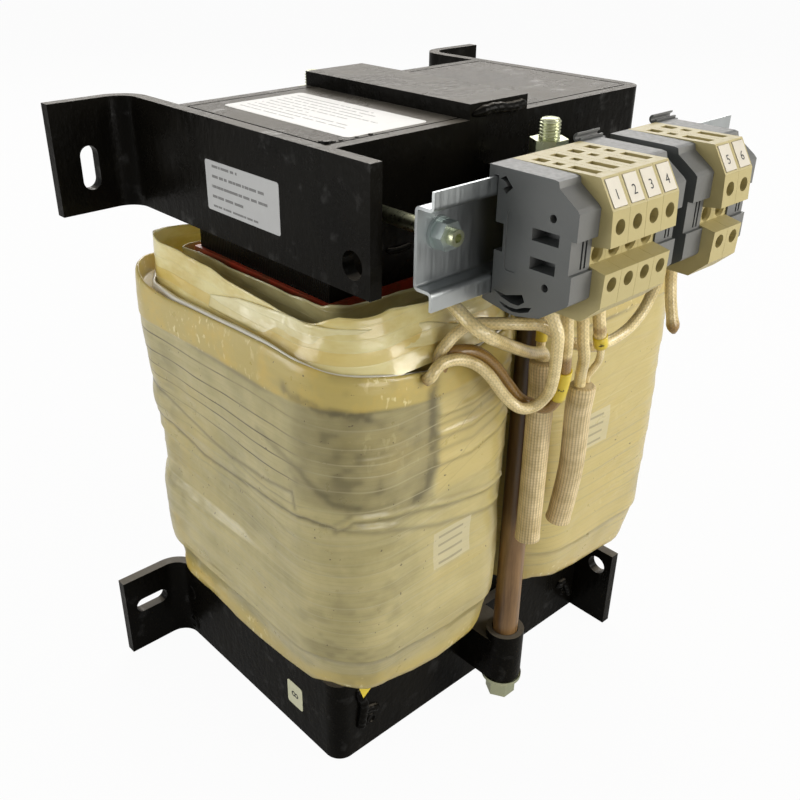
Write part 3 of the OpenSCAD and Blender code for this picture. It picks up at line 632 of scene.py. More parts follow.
# share of the distance round the left winding, and how far its lip rises there, in mm
LIP_LEFT = [(0, 0), (0.45, -0.4), (0.53, 0.4), (0.583, 1.5), (0.632, 2.4), (0.678, 2.9), (0.722, 2),
    (0.741, 0.5), (0.762, -0.4), (0.778, -1), (0.791, -1.9), (0.812, -4.2), (0.838, -6.6), (0.87, -6),
    (0.9, -3), (0.94, -0.6), (1, 0)]
# the same for how far the foot rises or sags, for each winding
FOOT_LEFT = [(0, 0), (0.5, 0), (0.53, -0.2), (0.575, -2), (0.618, -2.7), (0.66, -1.4), (0.699, 1),
    (0.715, 3.2), (0.731, 4.3), (0.754, 3), (0.776, 1.2), (0.803, 0.6), (0.835, -2.6), (0.867, -4.2),
    (0.901, -2.8), (0.94, -3), (1, 0)]
FOOT_RIGHT = [(0, -2), (0.05, 0), (0.6, 0), (0.767, 1.5), (0.781, 0.2), (0.797, -0.3), (0.818, -1.3),
    (0.839, -2.4), (0.883, -3), (0.907, -4), (0.938, -5.5), (0.97, -4.5), (1, -2)]
# height in mm, and how far the tape sits inside the widest turn at the left winding's left side
WAIST_LEFT = [(52, 1), (60, 3.1), (66, 3.6), (72, 2.6), (80, 2), (99, 1.8), (102, 2.2), (106, 4), (125, 4.1),
    (140, 2.7), (155, 1.4), (165, 0.4), (170, 0), (200, 0)]
# share, and how far the outer wrap's free edge stands above the layer inside it at the back corner
STAND_LEFT = [(0, 0), (0.36, 0), (0.4, 3), (0.44, 5.2), (0.468, 5.4), (0.485, 3.2), (0.505, 1.2), (0.53, 0),
    (1, 0)]
# share, and how far inward the inner layer's edge stands or how thick it is, in mm
EDGE_INWARD = [(0, 0), (0.36, 0), (0.42, 3.5), (0.468, 5), (0.5, 3), (0.54, 1), (0.6, 0.2), (1, 0)]
EDGE_WALL = [(0, 0.5), (0.4, 0.5), (0.46, 1.5), (0.6, 1.3), (0.66, 0.8), (0.7, 0.45), (1, 0.4)]
# folds, and edges of the sheet under the tape, as shares and heights in mm
SIDE_FOLD = [(0.46, 134.5), (0.507, 131.7), (0.56, 127.2), (0.615, 128.1), (0.668, 130.9), (0.715, 133),
    (0.743, 131.8)]
UPPER_FOLD = [(0.46, 148), (0.508, 144.6), (0.556, 139.8), (0.606, 136.2), (0.658, 138.2), (0.702, 141.2),
    (0.707, 136)]
FRONT_FOLD = [(0.743, 131.8), (0.758, 136), (0.782, 135.3), (0.817, 132.7), (0.856, 128.4), (0.901, 125.4),
    (0.93, 126)]
LOW_FOLD = [(0.751, 133), (0.796, 129.3), (0.843, 122.2), (0.903, 117.1), (0.93, 116)]
SIDE_BELT = [(0.46, 141), (0.508, 138.2), (0.556, 133.5), (0.606, 132), (0.658, 134.4), (0.71, 136)]
SHORT_FOLD = [(0.76, 158), (0.8, 157.5)]
SHEET_FOOT = [(0.66, 158), (0.7125, 151.5), (0.742, 141.4), (0.77, 138.8), (0.796, 138), (0.836, 134.5)]
SHEET_SIDE = [(0.834, 186), (0.832, 179.4), (0.835, 171.9), (0.8375, 156.6), (0.8375, 144.9), (0.833, 138.5),
    (0.8194, 136.6)]
SHEET_HEM = [(0.7, 177.5), (0.7153, 176.6), (0.7361, 175.6), (0.7694, 174.1)]
# heights in mm of dark lines painted as shade under the laps
LAP_SHADE_LEVELS = (166, 156.2, 145.4, 162, 151.5)


def tape_relief(u, v, height, seed, gaps):
    """Outward relief in mm from overlapping turns of tape."""
    rng = random.Random(seed)
    relief = 0.55 * value_noise(u, v, 9, 5, seed) + 0.22 * value_noise(u, v, 26, 16, seed + 1)
    edge, turn = 7.0, seed
    while edge < height - 20:
        turn += 10
        gap = rng.choice(gaps)
        above = v * height - edge - 3.4 * wave(u, 5, turn) - 0.9 * wave(u, 19, turn + 5)
        stands = rng.uniform(0.15, 0.62) * (0.55 + 0.45 * wave(u, 9, turn + 7))
        relief += stands * smoothstep(above / 0.8 + 0.5) * np.exp(-np.clip(above, 0, None) / (0.7 * gap))
        edge += gap
    return relief + 0.30 * value_noise(u, v, 60, 30, seed + 2) * value_noise(u, v, 9, 8, seed + 3)


def lip_lift(u, node):
    """Rise of the winding's top at each share of its outline."""
    if node != "coil_left":
        return 0.5 * wave(u, 9, 77)
    return sum(along_table(u + shift, LIP_LEFT) for shift in (0, -0.008, 0.008)) / 3


def winding(node, look, seed, gaps, marks, foot_sags):
    """One taped winding: foot tucked under, a wide outer wrap at the top and a lip round it."""
    low, high, centre, half = box_mm(node)
    is_left, height = node == "coil_left", high[2] - low[2]
    first, last = COIL_FOOT[-1][1] + 0.6, height - COIL_LIP[0][1] - 0.6
    levels = COIL_FOOT + [(0, first + (last - first) * k / (WALL_ROWS - 1)) for k in range(WALL_ROWS)]
    levels += [(inset, height - depth) for inset, depth in COIL_LIP]
    points, normals, share = rounded_path(half[0], half[1], COIL_RADIUS, COIL_COLUMNS)
    place = np.concatenate([np.column_stack([points - normals * inset, np.full(COIL_COLUMNS, level)])
                            for inset, level in levels])
    inset = np.repeat([inset for inset, level in levels], COIL_COLUMNS)
    u, outward = np.tile(share, len(levels)), np.tile(normals, (len(levels), 1))
    z = place[:, 2].copy()
    v = z / height
    brim = height - 12.5 + 1.6 * wave(u, 6, seed + 60) + 0.5 * wave(u, 21, seed + 61)
    wrap = smoothstep((z - brim) / 1.3 + 0.5)
    relief = tape_relief(u, v, height, seed, gaps) - 0.75
    relief += 0.5 * np.sin(np.pi * np.clip((z - 12) / (height - 30), 0, 1))
    relief = relief * (1 - wrap) + (0.12 * value_noise(u, v, 12, 10, seed + 62) - 0.15) * wrap
    if is_left:
        waist = along_table(z + low[2] + 1.2 * wave(u, 9, seed + 90), WAIST_LEFT)
        relief -= waist * (0.30 + 0.70 * step(u, 0.30, 0.1) * step(u, 0.70, -0.1))
    base = [centre[0], centre[1], low[2]]
    relief, look_values = marks(place + base, outward, relief, u)
    relief = np.minimum(relief, np.where(z > 95, 0.15, 0.9))
    place[:, :2] += outward * (relief * np.exp(-np.clip(inset - 3, 0, None) / 4))[:, None]
    sag = 2.6 * wave(u, 13, seed + 71) + 1.0 * wave(u, 37, seed + 73)
    ruffle = 0.6 * wave(u, 14, seed + 72) * np.exp(-(height - z) / 5)
    place[:, 2] += np.clip(sag, 0, 3.2) * np.exp(-z / 6) + np.minimum(ruffle, 0.0)
    place[:, 2] += lip_lift(u, node) * step(z, height - 34, 34)
    if is_left:
        place[:, 2] += along_table(u, STAND_LEFT) * (inset < 2.1) * step(z, height - 7, 6)
    place[:, 2] += along_table(u, foot_sags) * (1 - smoothstep(z / 40))
    piece = add_piece(node + "_tape", (place + base) * MM, ring_faces(len(levels), COIL_COLUMNS), look,
                      replaces=(node,))
    foot = smoothstep((13 - z + 4.5 * wave(u, 9, seed + 6)) / 7)
    patch = 0.30 * step(value_noise(u, v, 14, 12, seed + 8), 0.25, 0.6)
    # painted shade: a dark line just under the lower edge of the outer wrap
    rim = np.exp(-((z - brim + 0.4) / 1.1) ** 2) * (0.35 + 0.5 * wave(u, 17, seed + 63))
    look_values["amber"] = np.maximum(wrap, foot) + patch
    look_values["stain_and_shade"] = np.clip(look_values["stain_and_shade"], 0, 1) + np.clip(rim, 0, 1)
    for name, values in look_values.items():
        set_attribute(piece, name, np.clip(values, 0, 1))
    inner_edge(node, centre, half, high[2], seed)


def inner_edge(node, centre, half, top, seed):
    """White edge of the layer under the outer wrap, standing in the lip."""
    points, normals, share = rounded_path(half[0] - 2.0, half[1] - 2.0, COIL_RADIUS - 2.0, EDGE_COLUMNS)
    inward = along_table(share, EDGE_INWARD)
    wall = along_table(share, EDGE_WALL) + 0.25 * wave(share, 31, seed + 81)
    dips = np.minimum(0.5 * wave(share, 17, seed + 80), 0)
    rings = []
    for out, level in ((0, -3.2), (0, 0), (-1, 0.3), (-1, -3.2)):
        rise = top + level + (dips if level >= 0 else 0) + lip_lift(share, node)
        rings.append(np.column_stack([points + normals * (out * wall - inward)[:, None] + centre[:2], rise]))
    add_piece(node + "_inner_edge", np.concatenate(rings) * MM, ring_faces(4, EDGE_COLUMNS), white_film)


def traced(u, z, route, width):
    """Soft line on a winding along a route of distance shares and heights in mm."""
    x = u * OUTLINE
    nearest = np.full(len(x), 1e9)
    for (u0, z0), (u1, z1) in zip(route, route[1:]):
        x0, dx, dz = u0 * OUTLINE, (u1 - u0) * OUTLINE, z1 - z0
        t = np.clip(((x - x0) * dx + (z - z0) * dz) / (dx * dx + dz * dz), 0, 1)
        nearest = np.minimum(nearest, np.hypot(x - x0 - t * dx, z - z0 - t * dz))
    return np.exp(-(nearest / width) ** 2)


def lap_lines(u, z, levels, width):
    """Short laps that rise beyond the left winding's front corner."""
    return sum(traced(u, z, [(0.842, level), (0.88, level - 1.0), (0.93, level + 5.0)], width)
               for level in levels)


def marks_left(place, outward, relief, u):
    """Sheet under the tape, folds and stains on the left winding, with painted shade in and under the folds
    and laps, and over the front-left corner.
    """
    z = place[:, 2]
    v = (z - 50) / 150
    ragged = 0.9 * value_noise(u, v, 260, 90, 5) + 0.6 * value_noise(u, v, 90, 30, 6)
    cloud = value_noise(u, v, 40, 22, 9) + 0.7 * value_noise(u, v, 110, 60, 10)
    # raised belt between two folds along the side, and folds across the front
    folds = traced(u, z, FRONT_FOLD, 1.1) + 0.75 * traced(u, z, LOW_FOLD, 1.3)
    folds += 0.9 * lap_lines(u, z, (168, 158, 147), 1.5) + 0.35 * traced(u, z, SHORT_FOLD, 0.7)
    relief = relief + 0.95 * step(u, 0.725, -0.02) * traced(u, z, SIDE_BELT, 4.6) + 0.85 * folds
    relief = relief - 0.45 * traced(u, z, SIDE_FOLD, 1.0) - 0.3 * traced(u, z, UPPER_FOLD, 0.9)
    relief = relief - 0.4 * traced(u, z + 2.4, FRONT_FOLD, 1.2)
    # painted shade: dark lines in the side fold and under the raised laps
    stain_and_shade = 0.85 * traced(u, z + 0.2 * ragged, SIDE_FOLD, 0.8) + 0.34 * lap_lines(u, z, LAP_SHADE_LEVELS, 0.8)
    # painted shade along the folds in the first four rows; the sheet's hem and foot in the last two are its
    # real edges
    for weight, shift, route, width in (
            (0.62, 0, UPPER_FOLD, 0.7), (0.46, 2.0, FRONT_FOLD, 1.0), (0.36, 1.9, LOW_FOLD, 1.0),
            (0.30, -1.6, FRONT_FOLD, 0.7), (0.50, ragged, SHEET_HEM, 1.6),
            (0.42, 0.5 * ragged, SHEET_FOOT, 1.5)):
        stain_and_shade += weight * traced(u, z + shift, route, width)
    stain_and_shade += (0.80 + 0.14 * ragged) * traced(u + 0.0009 * ragged, z, SHEET_SIDE, 2.2)
    # the sheet under the tape darkens the front-left corner: partly the sheet's own colour, partly painted
    # shade
    sheet = step(u, 0.690, 0.035) * step(u, 0.8375, -0.006) * step(z, 136, 6) * step(z, 178, -6)
    stain_and_shade += sheet * (0.46 + 0.12 * cloud)
    # darker patches over the front-left corner and low down beside it: partly stain, partly painted shade
    stain_and_shade += 0.26 * step(cloud, 0.15, 0.9) * step(u, 0.66, 0.05) * step(u, 0.83, -0.04)
    stain_and_shade += 0.20 * step(z, 86, -14) * step(z, 64, 8) * step(u, 0.70, 0.03)
    stain_and_shade += 0.26 * step(u, 0.54, -0.03) * step(u, 0.43, 0.03) * step(cloud, -0.2, 0.9) * step(z, 176, -6)
    above = step(z, 131, 7)
    warm = step(u, 0.8375, 0.008) * above + 0.45 * step(u, 0.80, 0.10) * (1 - above)
    slant = step(u, 0.8385, 0.004) * step(z, 128, 6) * step(z, 176, -3)
    crisp = 0.22 + 0.78 * step(z, 132, 10) * step(u, 0.735, -0.05)
    crisp = np.maximum(crisp, step(u, 0.84, 0.01) * above)
    return relief, {"stain_and_shade": stain_and_shade, "warm": warm, "slant": slant, "crisp": crisp}


def marks_right(place, outward, relief, u):
    """Warmer tape with lapped turns that rise to the right."""
    x, z = place[:, 0], place[:, 2]
    front = step(-outward[:, 1], 0.2, 0.4)
    grey = 0.22 * step(value_noise(x / 120 + 3, (z - 50) / 150, 9, 9, 3), 0.3, 0.5)
    slant = front * step(z, 120, 10) * step(z, 178, -4)
    return relief, {"stain_and_shade": grey, "warm": 0.55 + 0.35 * front, "slant": slant, "crisp": 0.35 + 0 * x}


# ---- film collars

FILM_WALL, BAND_WALL = 0.35, 0.3
FILM_UNDER = 2.4  # how far the film starts below its collar
# share and height of the film's edges in mm, on the left winding
OUTER_TOP = [(0, 199), (0.36, 200), (0.42, 202.5), (0.46, 204.2), (0.5, 203.6), (0.578, 202.3),
    (0.6375, 200.3), (0.689, 199.5), (0.7167, 200.7), (0.73, 202.6), (0.743, 203.9), (0.765, 203),
    (0.782, 203.4), (0.8, 203.9), (0.822, 203.5), (0.86, 201), (0.9, 199), (1, 199)]
BAND_TOP = [(0.58, 194), (0.62, 197.6), (0.66, 199), (0.7167, 200.3), (0.7528, 200), (0.7625, 199.9),
    (0.8056, 198.6), (0.8403, 196.2), (0.862, 193.4), (0.875, 192)]
BAND_FOOT = [(0.58, 190), (0.66, 189.8), (0.71, 190.6), (0.7528, 193), (0.775, 193.3), (0.8319, 189.8),
    (0.862, 189), (0.875, 190)]
# share and rise of the left inner film, and share and spread of an outer film's foot, in mm
INNER_RISE = [(0, -1), (0.45, -0.5), (0.52, 1), (0.66, 1.4), (0.7, 2.6), (0.73, 3.8), (0.76, 3.8), (0.8, 3),
    (0.85, 1.8), (0.92, 0.5), (1, -1)]
COLLAR_SPREAD = [(0, 5), (0.36, 5), (0.42, 0.5), (0.5, 0.8), (0.56, 3.2), (0.66, 4), (0.7, 5.4), (0.9, 5.4),
    (1, 5)]


class Collar:
    """Outline of a film collar, whose wall leans out at each share and height share."""

    def __init__(self, node, seed, sway, radius, columns):
        self.low, self.high, self.centre, half = box_mm(node)
        self.outer, self.seed, self.sway = node.startswith("outer"), seed, sway
        self.points, self.normals, self.share = rounded_path(half[0] - 0.4, half[1] - 0.4, radius, columns)
        self.where = np.interp(self.share, corner_shares(half[0] - 0.4, half[1] - 0.4, radius), COIL_CORNERS)

    def keep(self, chosen):
        for name in ("points", "normals", "share", "where"):
            setattr(self, name, getattr(self, name)[chosen])

    def lean(self, v):
        share, seed = self.share, self.seed
        lean = self.sway * (v ** 1.4) * (wave(share, 16, seed) - 0.2)
        lean = lean + 0.35 * value_noise(share, 0 * share + v, 42, 5, seed + 1) * v
        spread = along_table(self.where, COLLAR_SPREAD) if self.outer else 2.0
        crease = value_noise(share, 0 * share + 0.4 * v, 75, 3, seed + 4)
        return lean + spread * (1 - v) ** 1.7 - 0.5 * v * np.clip(crease - 0.55, 0, 1)

    def rings(self, rows, wall, sheet):
        """Rings up the outside and down the inside; sheet(share of height) gives lean and level."""
        rings = []
        for side, order in ((0, range(rows)), (1, range(rows - 1, -1, -1))):
            for k in order:
                lean, level = sheet(k / (rows - 1))
                place = self.points + self.normals * (lean - side * wall)[:, None] + self.centre[:2]
                rings.append(np.column_stack([place, level]))
        return np.concatenate(rings) * MM


def film_collar(node, look, seed, lift, sway, radius):
    """A standing wall of thin film whose top edge wanders."""
    columns, rows = 320, 16
    collar = Collar(node, seed, sway, radius, columns)
    share, where, low = collar.share, collar.where, collar.low[2]
    height = collar.high[2] - low
    rise = np.maximum(lip_lift(where, "coil_" + node.split("_")[-1]), -1.0)
    top = height + rise + 1.25 * lift * (wave(share, 9, seed + 2) - 1)
    if node == "outer_collar_left":
        top = along_table(where, OUTER_TOP) - low + 0.3 * wave(share, 60, seed + 3)
    if node == "inner_collar_left":
        top = height + along_table(where, INNER_RISE) + 0.25 * wave(share, 30, seed + 3) - 0.25
    place = collar.rings(rows, FILM_WALL, lambda v: (
        collar.lean(v), low - FILM_UNDER + rise + v * (top - rise + FILM_UNDER)))
    add_piece(node + "_film", place, ring_faces(2 * rows, columns), look, replaces=(node,))


def film_band(node, look, seed, sway, radius):
    """A strip of film laid round the outside of a collar's front."""
    rows = 10
    collar = Collar(node, seed, sway, radius, 900)
    collar.keep((collar.where > BAND_TOP[0][0]) & (collar.where < BAND_TOP[-1][0]))
    top, foot = (along_table(collar.where, table) for table in (BAND_TOP, BAND_FOOT))
    stands = 0.75 + 0.35 * wave(collar.share, 50, seed + 9)

    def sheet(v):
        level = foot + v * (top - foot)
        return collar.lean(np.clip((level - collar.low[2] + FILM_UNDER) / 13.5, 0, 1)) + stands, level

    columns, rings = len(collar.share), 2 * rows
    faces = []
    for row in range(rings):
        a, b = row * columns, (row + 1) % rings * columns
        faces += [(a + k, a + k + 1, b + k + 1, b + k) for k in range(columns - 1)]
    faces.append([row * columns for row in range(rings)])
    faces.append([row * columns + columns - 1 for row in range(rings)][::-1])
    add_piece(node + "_band", collar.rings(rows, BAND_WALL, sheet), faces, look)


# ---- leads

# points in mm, as in the part's source, with the ends of 1, 2 and 6 laid into the dip in the lip
LEADS = {
    "lead_1": [(-29.7, -91, 206), (-29.7, -91.3, 201), (-29, -93.2, 196), (-28.2, -93, 191),
        (-24.6, -90.3, 181), (-21.9, -87.5, 172.4), (-21.2, -85, 167.7), (-22.8, -82.5, 164.1),
        (-26.8, -80.5, 163.7), (-30.2, -78.4, 166.3), (-33.9, -76.4, 171.3), (-37.1, -74.8, 176.5),
        (-40.4, -73.3, 180.5), (-44.5, -71.7, 183.5), (-49.5, -70.6, 185.4), (-54.6, -70, 185.7),
        (-57.8, -70, 184.6), (-59.4, -69.6, 182.4), (-60.2, -68, 180.6)],
    "lead_2": [(-21.7, -91, 206), (-21.7, -91, 198), (-21.6, -91.7, 191.4), (-19.8, -90.5, 184.4),
        (-16.2, -88, 175.1), (-14.3, -84.5, 164.1), (-15.9, -81.5, 160.4), (-19.3, -78.5, 161.9),
        (-23.9, -76.3, 165.1), (-27.9, -74.4, 171), (-31.9, -73, 177.1), (-36.6, -71.8, 182.4),
        (-41, -70.8, 185.6), (-45.3, -69.2, 186.9), (-48.2, -67, 186.2), (-50, -65.6, 183.5),
        (-50.4, -65.2, 180)],
    "lead_3": [(-13.7, -91, 206), (-13.7, -91, 198), (-13, -91.5, 189), (-10.5, -91, 181.5),
        (-7.4, -88.5, 174), (-5.7, -87.2, 170), (-5.6, -87.2, 167.6)],
    "lead_4": [(-5.7, -91, 206), (-5.7, -91, 198), (-5, -92, 189.5), (-2.2, -91.5, 181.5), (0, -89.7, 176),
        (-0.5, -88.2, 172.5), (-1.3, -87, 170), (-1.4, -86.8, 167.6)],
    "lead_5": [(35.3, -91, 206), (35.3, -91, 198), (35.6, -92.5, 188), (36.5, -95, 177)],
    "lead_6": [(27.3, -91, 206), (27.3, -91, 199), (26.6, -89.8, 193), (24.2, -89, 187.5), (19.5, -88.2, 183),
        (14, -87.7, 180.8), (7, -87.2, 179.8), (-1.4, -87, 180.8), (-10.2, -86.3, 184.4), (-16, -85.4, 187.8),
        (-21.3, -84.2, 192), (-25.8, -83.2, 194.6), (-30, -82, 195.6), (-35.3, -79.6, 196.6),
        (-39.6, -76.2, 196.7), (-42.3, -73, 196.4), (-44.5, -70, 195.3), (-46.9, -67.9, 192.9),
        (-49.6, -66.9, 190.2), (-52.2, -66.2, 187.2), (-53.6, -65.8, 183.5)],
    "lead_7": [(-46, -56.8, 188.4), (-46, -56.8, 192.5), (-46.2, -57.3, 198.8), (-47.5, -62, 202.8),
        (-49.5, -68, 203), (-50.8, -73.5, 201.8), (-50.4, -77.9, 199.4), (-46, -80.3, 195.5),
        (-38.5, -79.3, 191), (-30.3, -77.3, 186.2), (-21.8, -75.6, 181.5), (-14.8, -74.3, 178.2),
        (-10.6, -73.4, 177), (-8.3, -73, 175), (-8.2, -73, 173)],
    "braided_sleeve_1": [(-8.2, -73, 172.6), (-8.1, -73, 170), (-7.5, -73, 159), (-7.3, -73, 129.5),
        (-7.3, -73, 97.4)],
    "braided_sleeve_2": [(-3.8, -87, 167.2), (-3.6, -86.8, 164), (-1.6, -85, 155.8), (2.9, -82, 142.3),
        (7.5, -78.7, 126.3), (9.2, -76, 110.6), (9, -74.5, 99.4)],
}
LEAD_RADIUS = 2.0
SLEEVE_RADIUS = 4.9
TUBE_SIDES = 24


def smooth_route(route, steps):
    """Catmull-Rom curve through the route's points."""
    p = [Vector(q) for q in (route[0], *route, route[-1])]
    points = []
    for a, b, c, d in zip(p, p[1:], p[2:], p[3:]):
        for t in (k / steps for k in range(steps)):
            points.append(0.5 * (2 * b + (c - a) * t + (2 * a - 5 * b + 4 * c - d) * t * t
                                 + (3 * b - a - 3 * c + d) * t ** 3))
    return points + [p[-1]]


def tube(name, points, radii, look, sides=TUBE_SIDES, replaces=()):
    """A tube with flat ends through points in mm. Its last side repeats the first, for the UV seam."""
    vertices, faces, uvs = [], [], []
    side, length, row, last = Vector((1, 0, 0)), 0.0, sides + 1, len(points) - 1
    for i, point in enumerate(points):
        heading = (points[min(i + 1, last)] - points[max(i - 1, 0)]).normalized()
        side = (side - side.dot(heading) * heading).normalized()
        up = side.cross(heading)
        if i:
            length += (point - points[i - 1]).length
            start = (i - 1) * row
            faces += [(start + k, start + k + 1, start + row + k + 1, start + row + k) for k in range(sides)]
        for k in range(row):
            angle = 2 * math.pi * k / sides
            vertices.append((point + (math.cos(angle) * side + math.sin(angle) * up) * radii[i]) * MM)
            uvs.append((k / sides, length * MM))
    faces += [list(range(sides))[::-1], [last * row + k for k in range(sides)]]
    piece = add_piece(name, vertices, faces, look, replaces=replaces)
    add_uv(piece, uvs)
    return piece


def lead_piece(node):
    """A sleeved lead; the end of some is thinner, swollen or soaked with varnish."""
    points = smooth_route(LEADS[node], 8)
    count = len(points)
    rng = random.Random(node)
    radii = [LEAD_RADIUS * (0.98 + 0.03 * rng.random()) for _ in points]
    soaked = [0.0] * count
    for i, point in enumerate(points):
        if node == "lead_2":
            soaked[i] = step(point.z, 186.5, -3) if i < count // 3 else 1.0
        elif node == "lead_4":
            soaked[i] = 0.8 * smoothstep(1 - abs(point.z - 190) / 2.2)
            radii[i] *= 1.08 - 0.44 * step(point.z, 187.5, -1.0)
        elif node == "lead_5":
            soaked[i] = step(point.z, 183.5, -4)
            radii[i] *= 1.04 + 0.22 * math.exp(-((point.z - 179.6) / 2.0) ** 2)
        elif node in ("lead_1", "lead_6"):
            soaked[i] = 0.75 * step(i / count, 0.94, 0.05)
        elif node == "lead_7":
            soaked[i] = 0.85 * step(i / count, 0.17, -0.06)
            radii[i] *= 1.08
    if node == "lead_5":
        for back, factor in enumerate((0.30, 0.62, 0.85, 0.97), 1):
            radii[-back] *= factor
    piece = tube(node + "_sleeving", points, radii, lead_look, replaces=(node,))
    set_attribute(piece, "soaked", np.repeat(soaked, TUBE_SIDES + 1))


def marker(name, node, top, bottom, radius, body):
    """A yellow marker tube over part of a lead, between two heights, with a plain digit on it."""
    points = smooth_route(LEADS[node], 8)
    inside = [i for i, p in enumerate(points[:len(points) // 2]) if bottom <= p.z <= top]
    path = points[inside[0]:inside[-1] + 1]
    if len(path) > 14:
        path = path[::2] + [path[-1]]
    ends = [path[0] + 0.01 * (path[0] - path[1]), *path, path[-1] + 0.01 * (path[-1] - path[-2])]
    radii = [radius * 0.9] + [radius] * len(path) + [radius * 0.9]
    tube(name, ends, radii, marker_look, sides=28)
    middle = path[len(path) // 2]
    heading = (path[-1] - path[0]).normalized()
    out = Vector((-0.75, -0.65, 0.2))
    out = (out - out.dot(heading) * heading).normalized()
    across = out.cross(heading)

    def wrapped(x, y):
        angle = y / radius
        return middle + x * heading + (radius + 0.09) * (math.cos(angle) * out + math.sin(angle) * across)

    digit(name + "_digit", body, 1.9, wrapped)


def sleeve_piece(node):
    """Braided sleeve with an open, slightly flared and hemmed lower end."""
    points = smooth_route(LEADS[node], 14)
    radii = []
    for i in range(len(points)):
        t = i / (len(points) - 1)
        belly = 1 + 0.012 * math.sin(5 * t + (2 if node.endswith("2") else 0))
        hem = 0.03 if t > 0.975 else 0.0
        mouth = -0.14 * max(0, 0.05 - t) / 0.05
        radii.append(SLEEVE_RADIUS * (0.955 * belly + hem + mouth))
    rings = points + [points[back] for back in (-1, -2, -4, -8)]
    radii += [radii[-1] * share for share in (0.86, 0.84, 0.82, 0.8)]
    piece = tube(node + "_braid", rings, radii, braid_look, sides=32, replaces=(node,))
    path = [p * MM for p in points]
    length = sum((b - a).length for a, b in zip(path, path[1:]))


# ---- rods, welds and cards

ROD_RADIUS, ROD_SIDES = 3.5, 28
THREAD_PITCH, THREAD_DEPTH = 1.05, 0.55
LOWER_THREAD, UPPER_THREAD = 16, 22  # lengths at the ends of a tie rod


def threaded_rods():
    """Both tie rods, with a thread near each end and a chamfer at the tips."""
    low, high, _, _ = box_mm("tie_rods")
    turn, bottom, top = THREAD_PITCH / 8, low[2] + LOWER_THREAD, high[2] - UPPER_THREAD
    levels = np.concatenate([np.arange(low[2], bottom, turn), np.arange(bottom, top, 6),
                             np.arange(top, high[2], turn), high[2:]])
    vertices, faces = [], []
    for y in (low[1] + ROD_RADIUS, high[1] - ROD_RADIUS):
        faces += ring_faces(len(levels), ROD_SIDES, len(vertices), True, True)
        for z in levels:
            tip = min(z - low[2], high[2] - z)
            chamfer = 0.75 * max(0.0, 1 - tip / 0.8)
            for k in range(ROD_SIDES):
                a = 2 * math.pi * k / ROD_SIDES
                tooth = abs(2 * ((z / THREAD_PITCH - k / ROD_SIDES) % 1.0) - 1)
                groove = max(0.0, tooth - 0.15) / 0.85 * THREAD_DEPTH * (tip < LOWER_THREAD or z > top)
                r = ROD_RADIUS - max(groove, chamfer)
                vertices.append(Vector((r * math.cos(a), y + r * math.sin(a), z)) * MM)
    add_piece("tie_rods_threaded", vertices, faces, yellow_zinc, replaces=("tie_rods",))


def weld_bead(name, radius, *route):
    """A rippled weld bead under varnish, tapered at both ends."""
    points = smooth_route(route, 10)
    rng = random.Random(name)
    radii = []
    for i in range(len(points)):
        t = i / (len(points) - 1)
        taper = min(1.0, 0.25 + 5 * t, 0.25 + 5 * (1 - t))
        radii.append(radius * taper * (0.88 + 0.16 * abs(math.sin(i * 0.8)) + 0.12 * rng.random()))
    tube(name, points, radii, paint_look, sides=18)


def weld_disc(name, centre, out, radius, height, hole=0.0):
    """A low dome with a soft rim, or a ring where hole is above 0."""
    centre, out = Vector(centre), Vector(out)
    side = out.cross(Vector((0, 0, 1)) if abs(out.z) < 0.9 else Vector((0, 1, 0)))
    up = side.cross(out)
    profile = [(radius, -0.1), (radius * 0.97, height * 0.45), (radius * 0.84, height * 0.9),
               (radius * 0.62, height), (max(hole, radius * 0.3), height * 0.93)]
    if hole:
        profile += [(hole * 0.8, height * 0.5), (hole * 0.75, -0.1)]
    sides = 36
    turns = [2 * math.pi * k / sides for k in range(sides)]
    vertices = [(centre + r * (math.cos(a) * side + math.sin(a) * up) + h * out) * MM
                for r, h in profile for a in turns]
    add_piece(name, vertices, ring_faces(len(profile), sides, head=not hole), paint_look)


def yellow_slip():
    """Corner of yellow film that shows under the left winding's front."""
    y = box_mm("coil_left")[0][1] + 12.5
    corners = [(-75.6, -0.2, 45.8), (-71.0, 0, 48.6), (-65.5, 0.2, 50.2), (-64.0, 0, 51.5), (-77.5, 0, 51.5)]
    vertices = [Vector((x, y + dy + thick, z)) * MM for thick in (0, 0.25) for x, dy, z in corners]
    add_piece("yellow_slip", vertices, ring_faces(2, 5, 0, True, True), yellow_film,
              smooth=False)


def number_terminals():
    """A digit on the outer face of each terminal's tag."""
    mesh = frame["nodes"]["number_tags"].data
    fronts = [f for f in mesh.polygons if f.normal.y < -0.5 and f.normal.z > 0.2]
    out, right = Vector(fronts[0].normal), Vector((1, 0, 0))
    up = out.cross(right)
    for number in range(1, 7):
        low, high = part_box(f"terminal_{number}")
        place = (low[0] + high[0]) / 2
        heights = sorted((Vector(mesh.vertices[i].co) / MM for f in fronts if abs(f.center.x - place) < 0.0035
                          for i in f.vertices), key=lambda c: c.z)
        middle = (heights[0] + heights[-1]) / 2
        middle.x = place / MM
        digit(f"tag_digit_{number}", str(number), 2.9,
              lambda x, y, middle=middle: middle + x * right + (y - 0.6) * up + 0.05 * out)


# ---- build

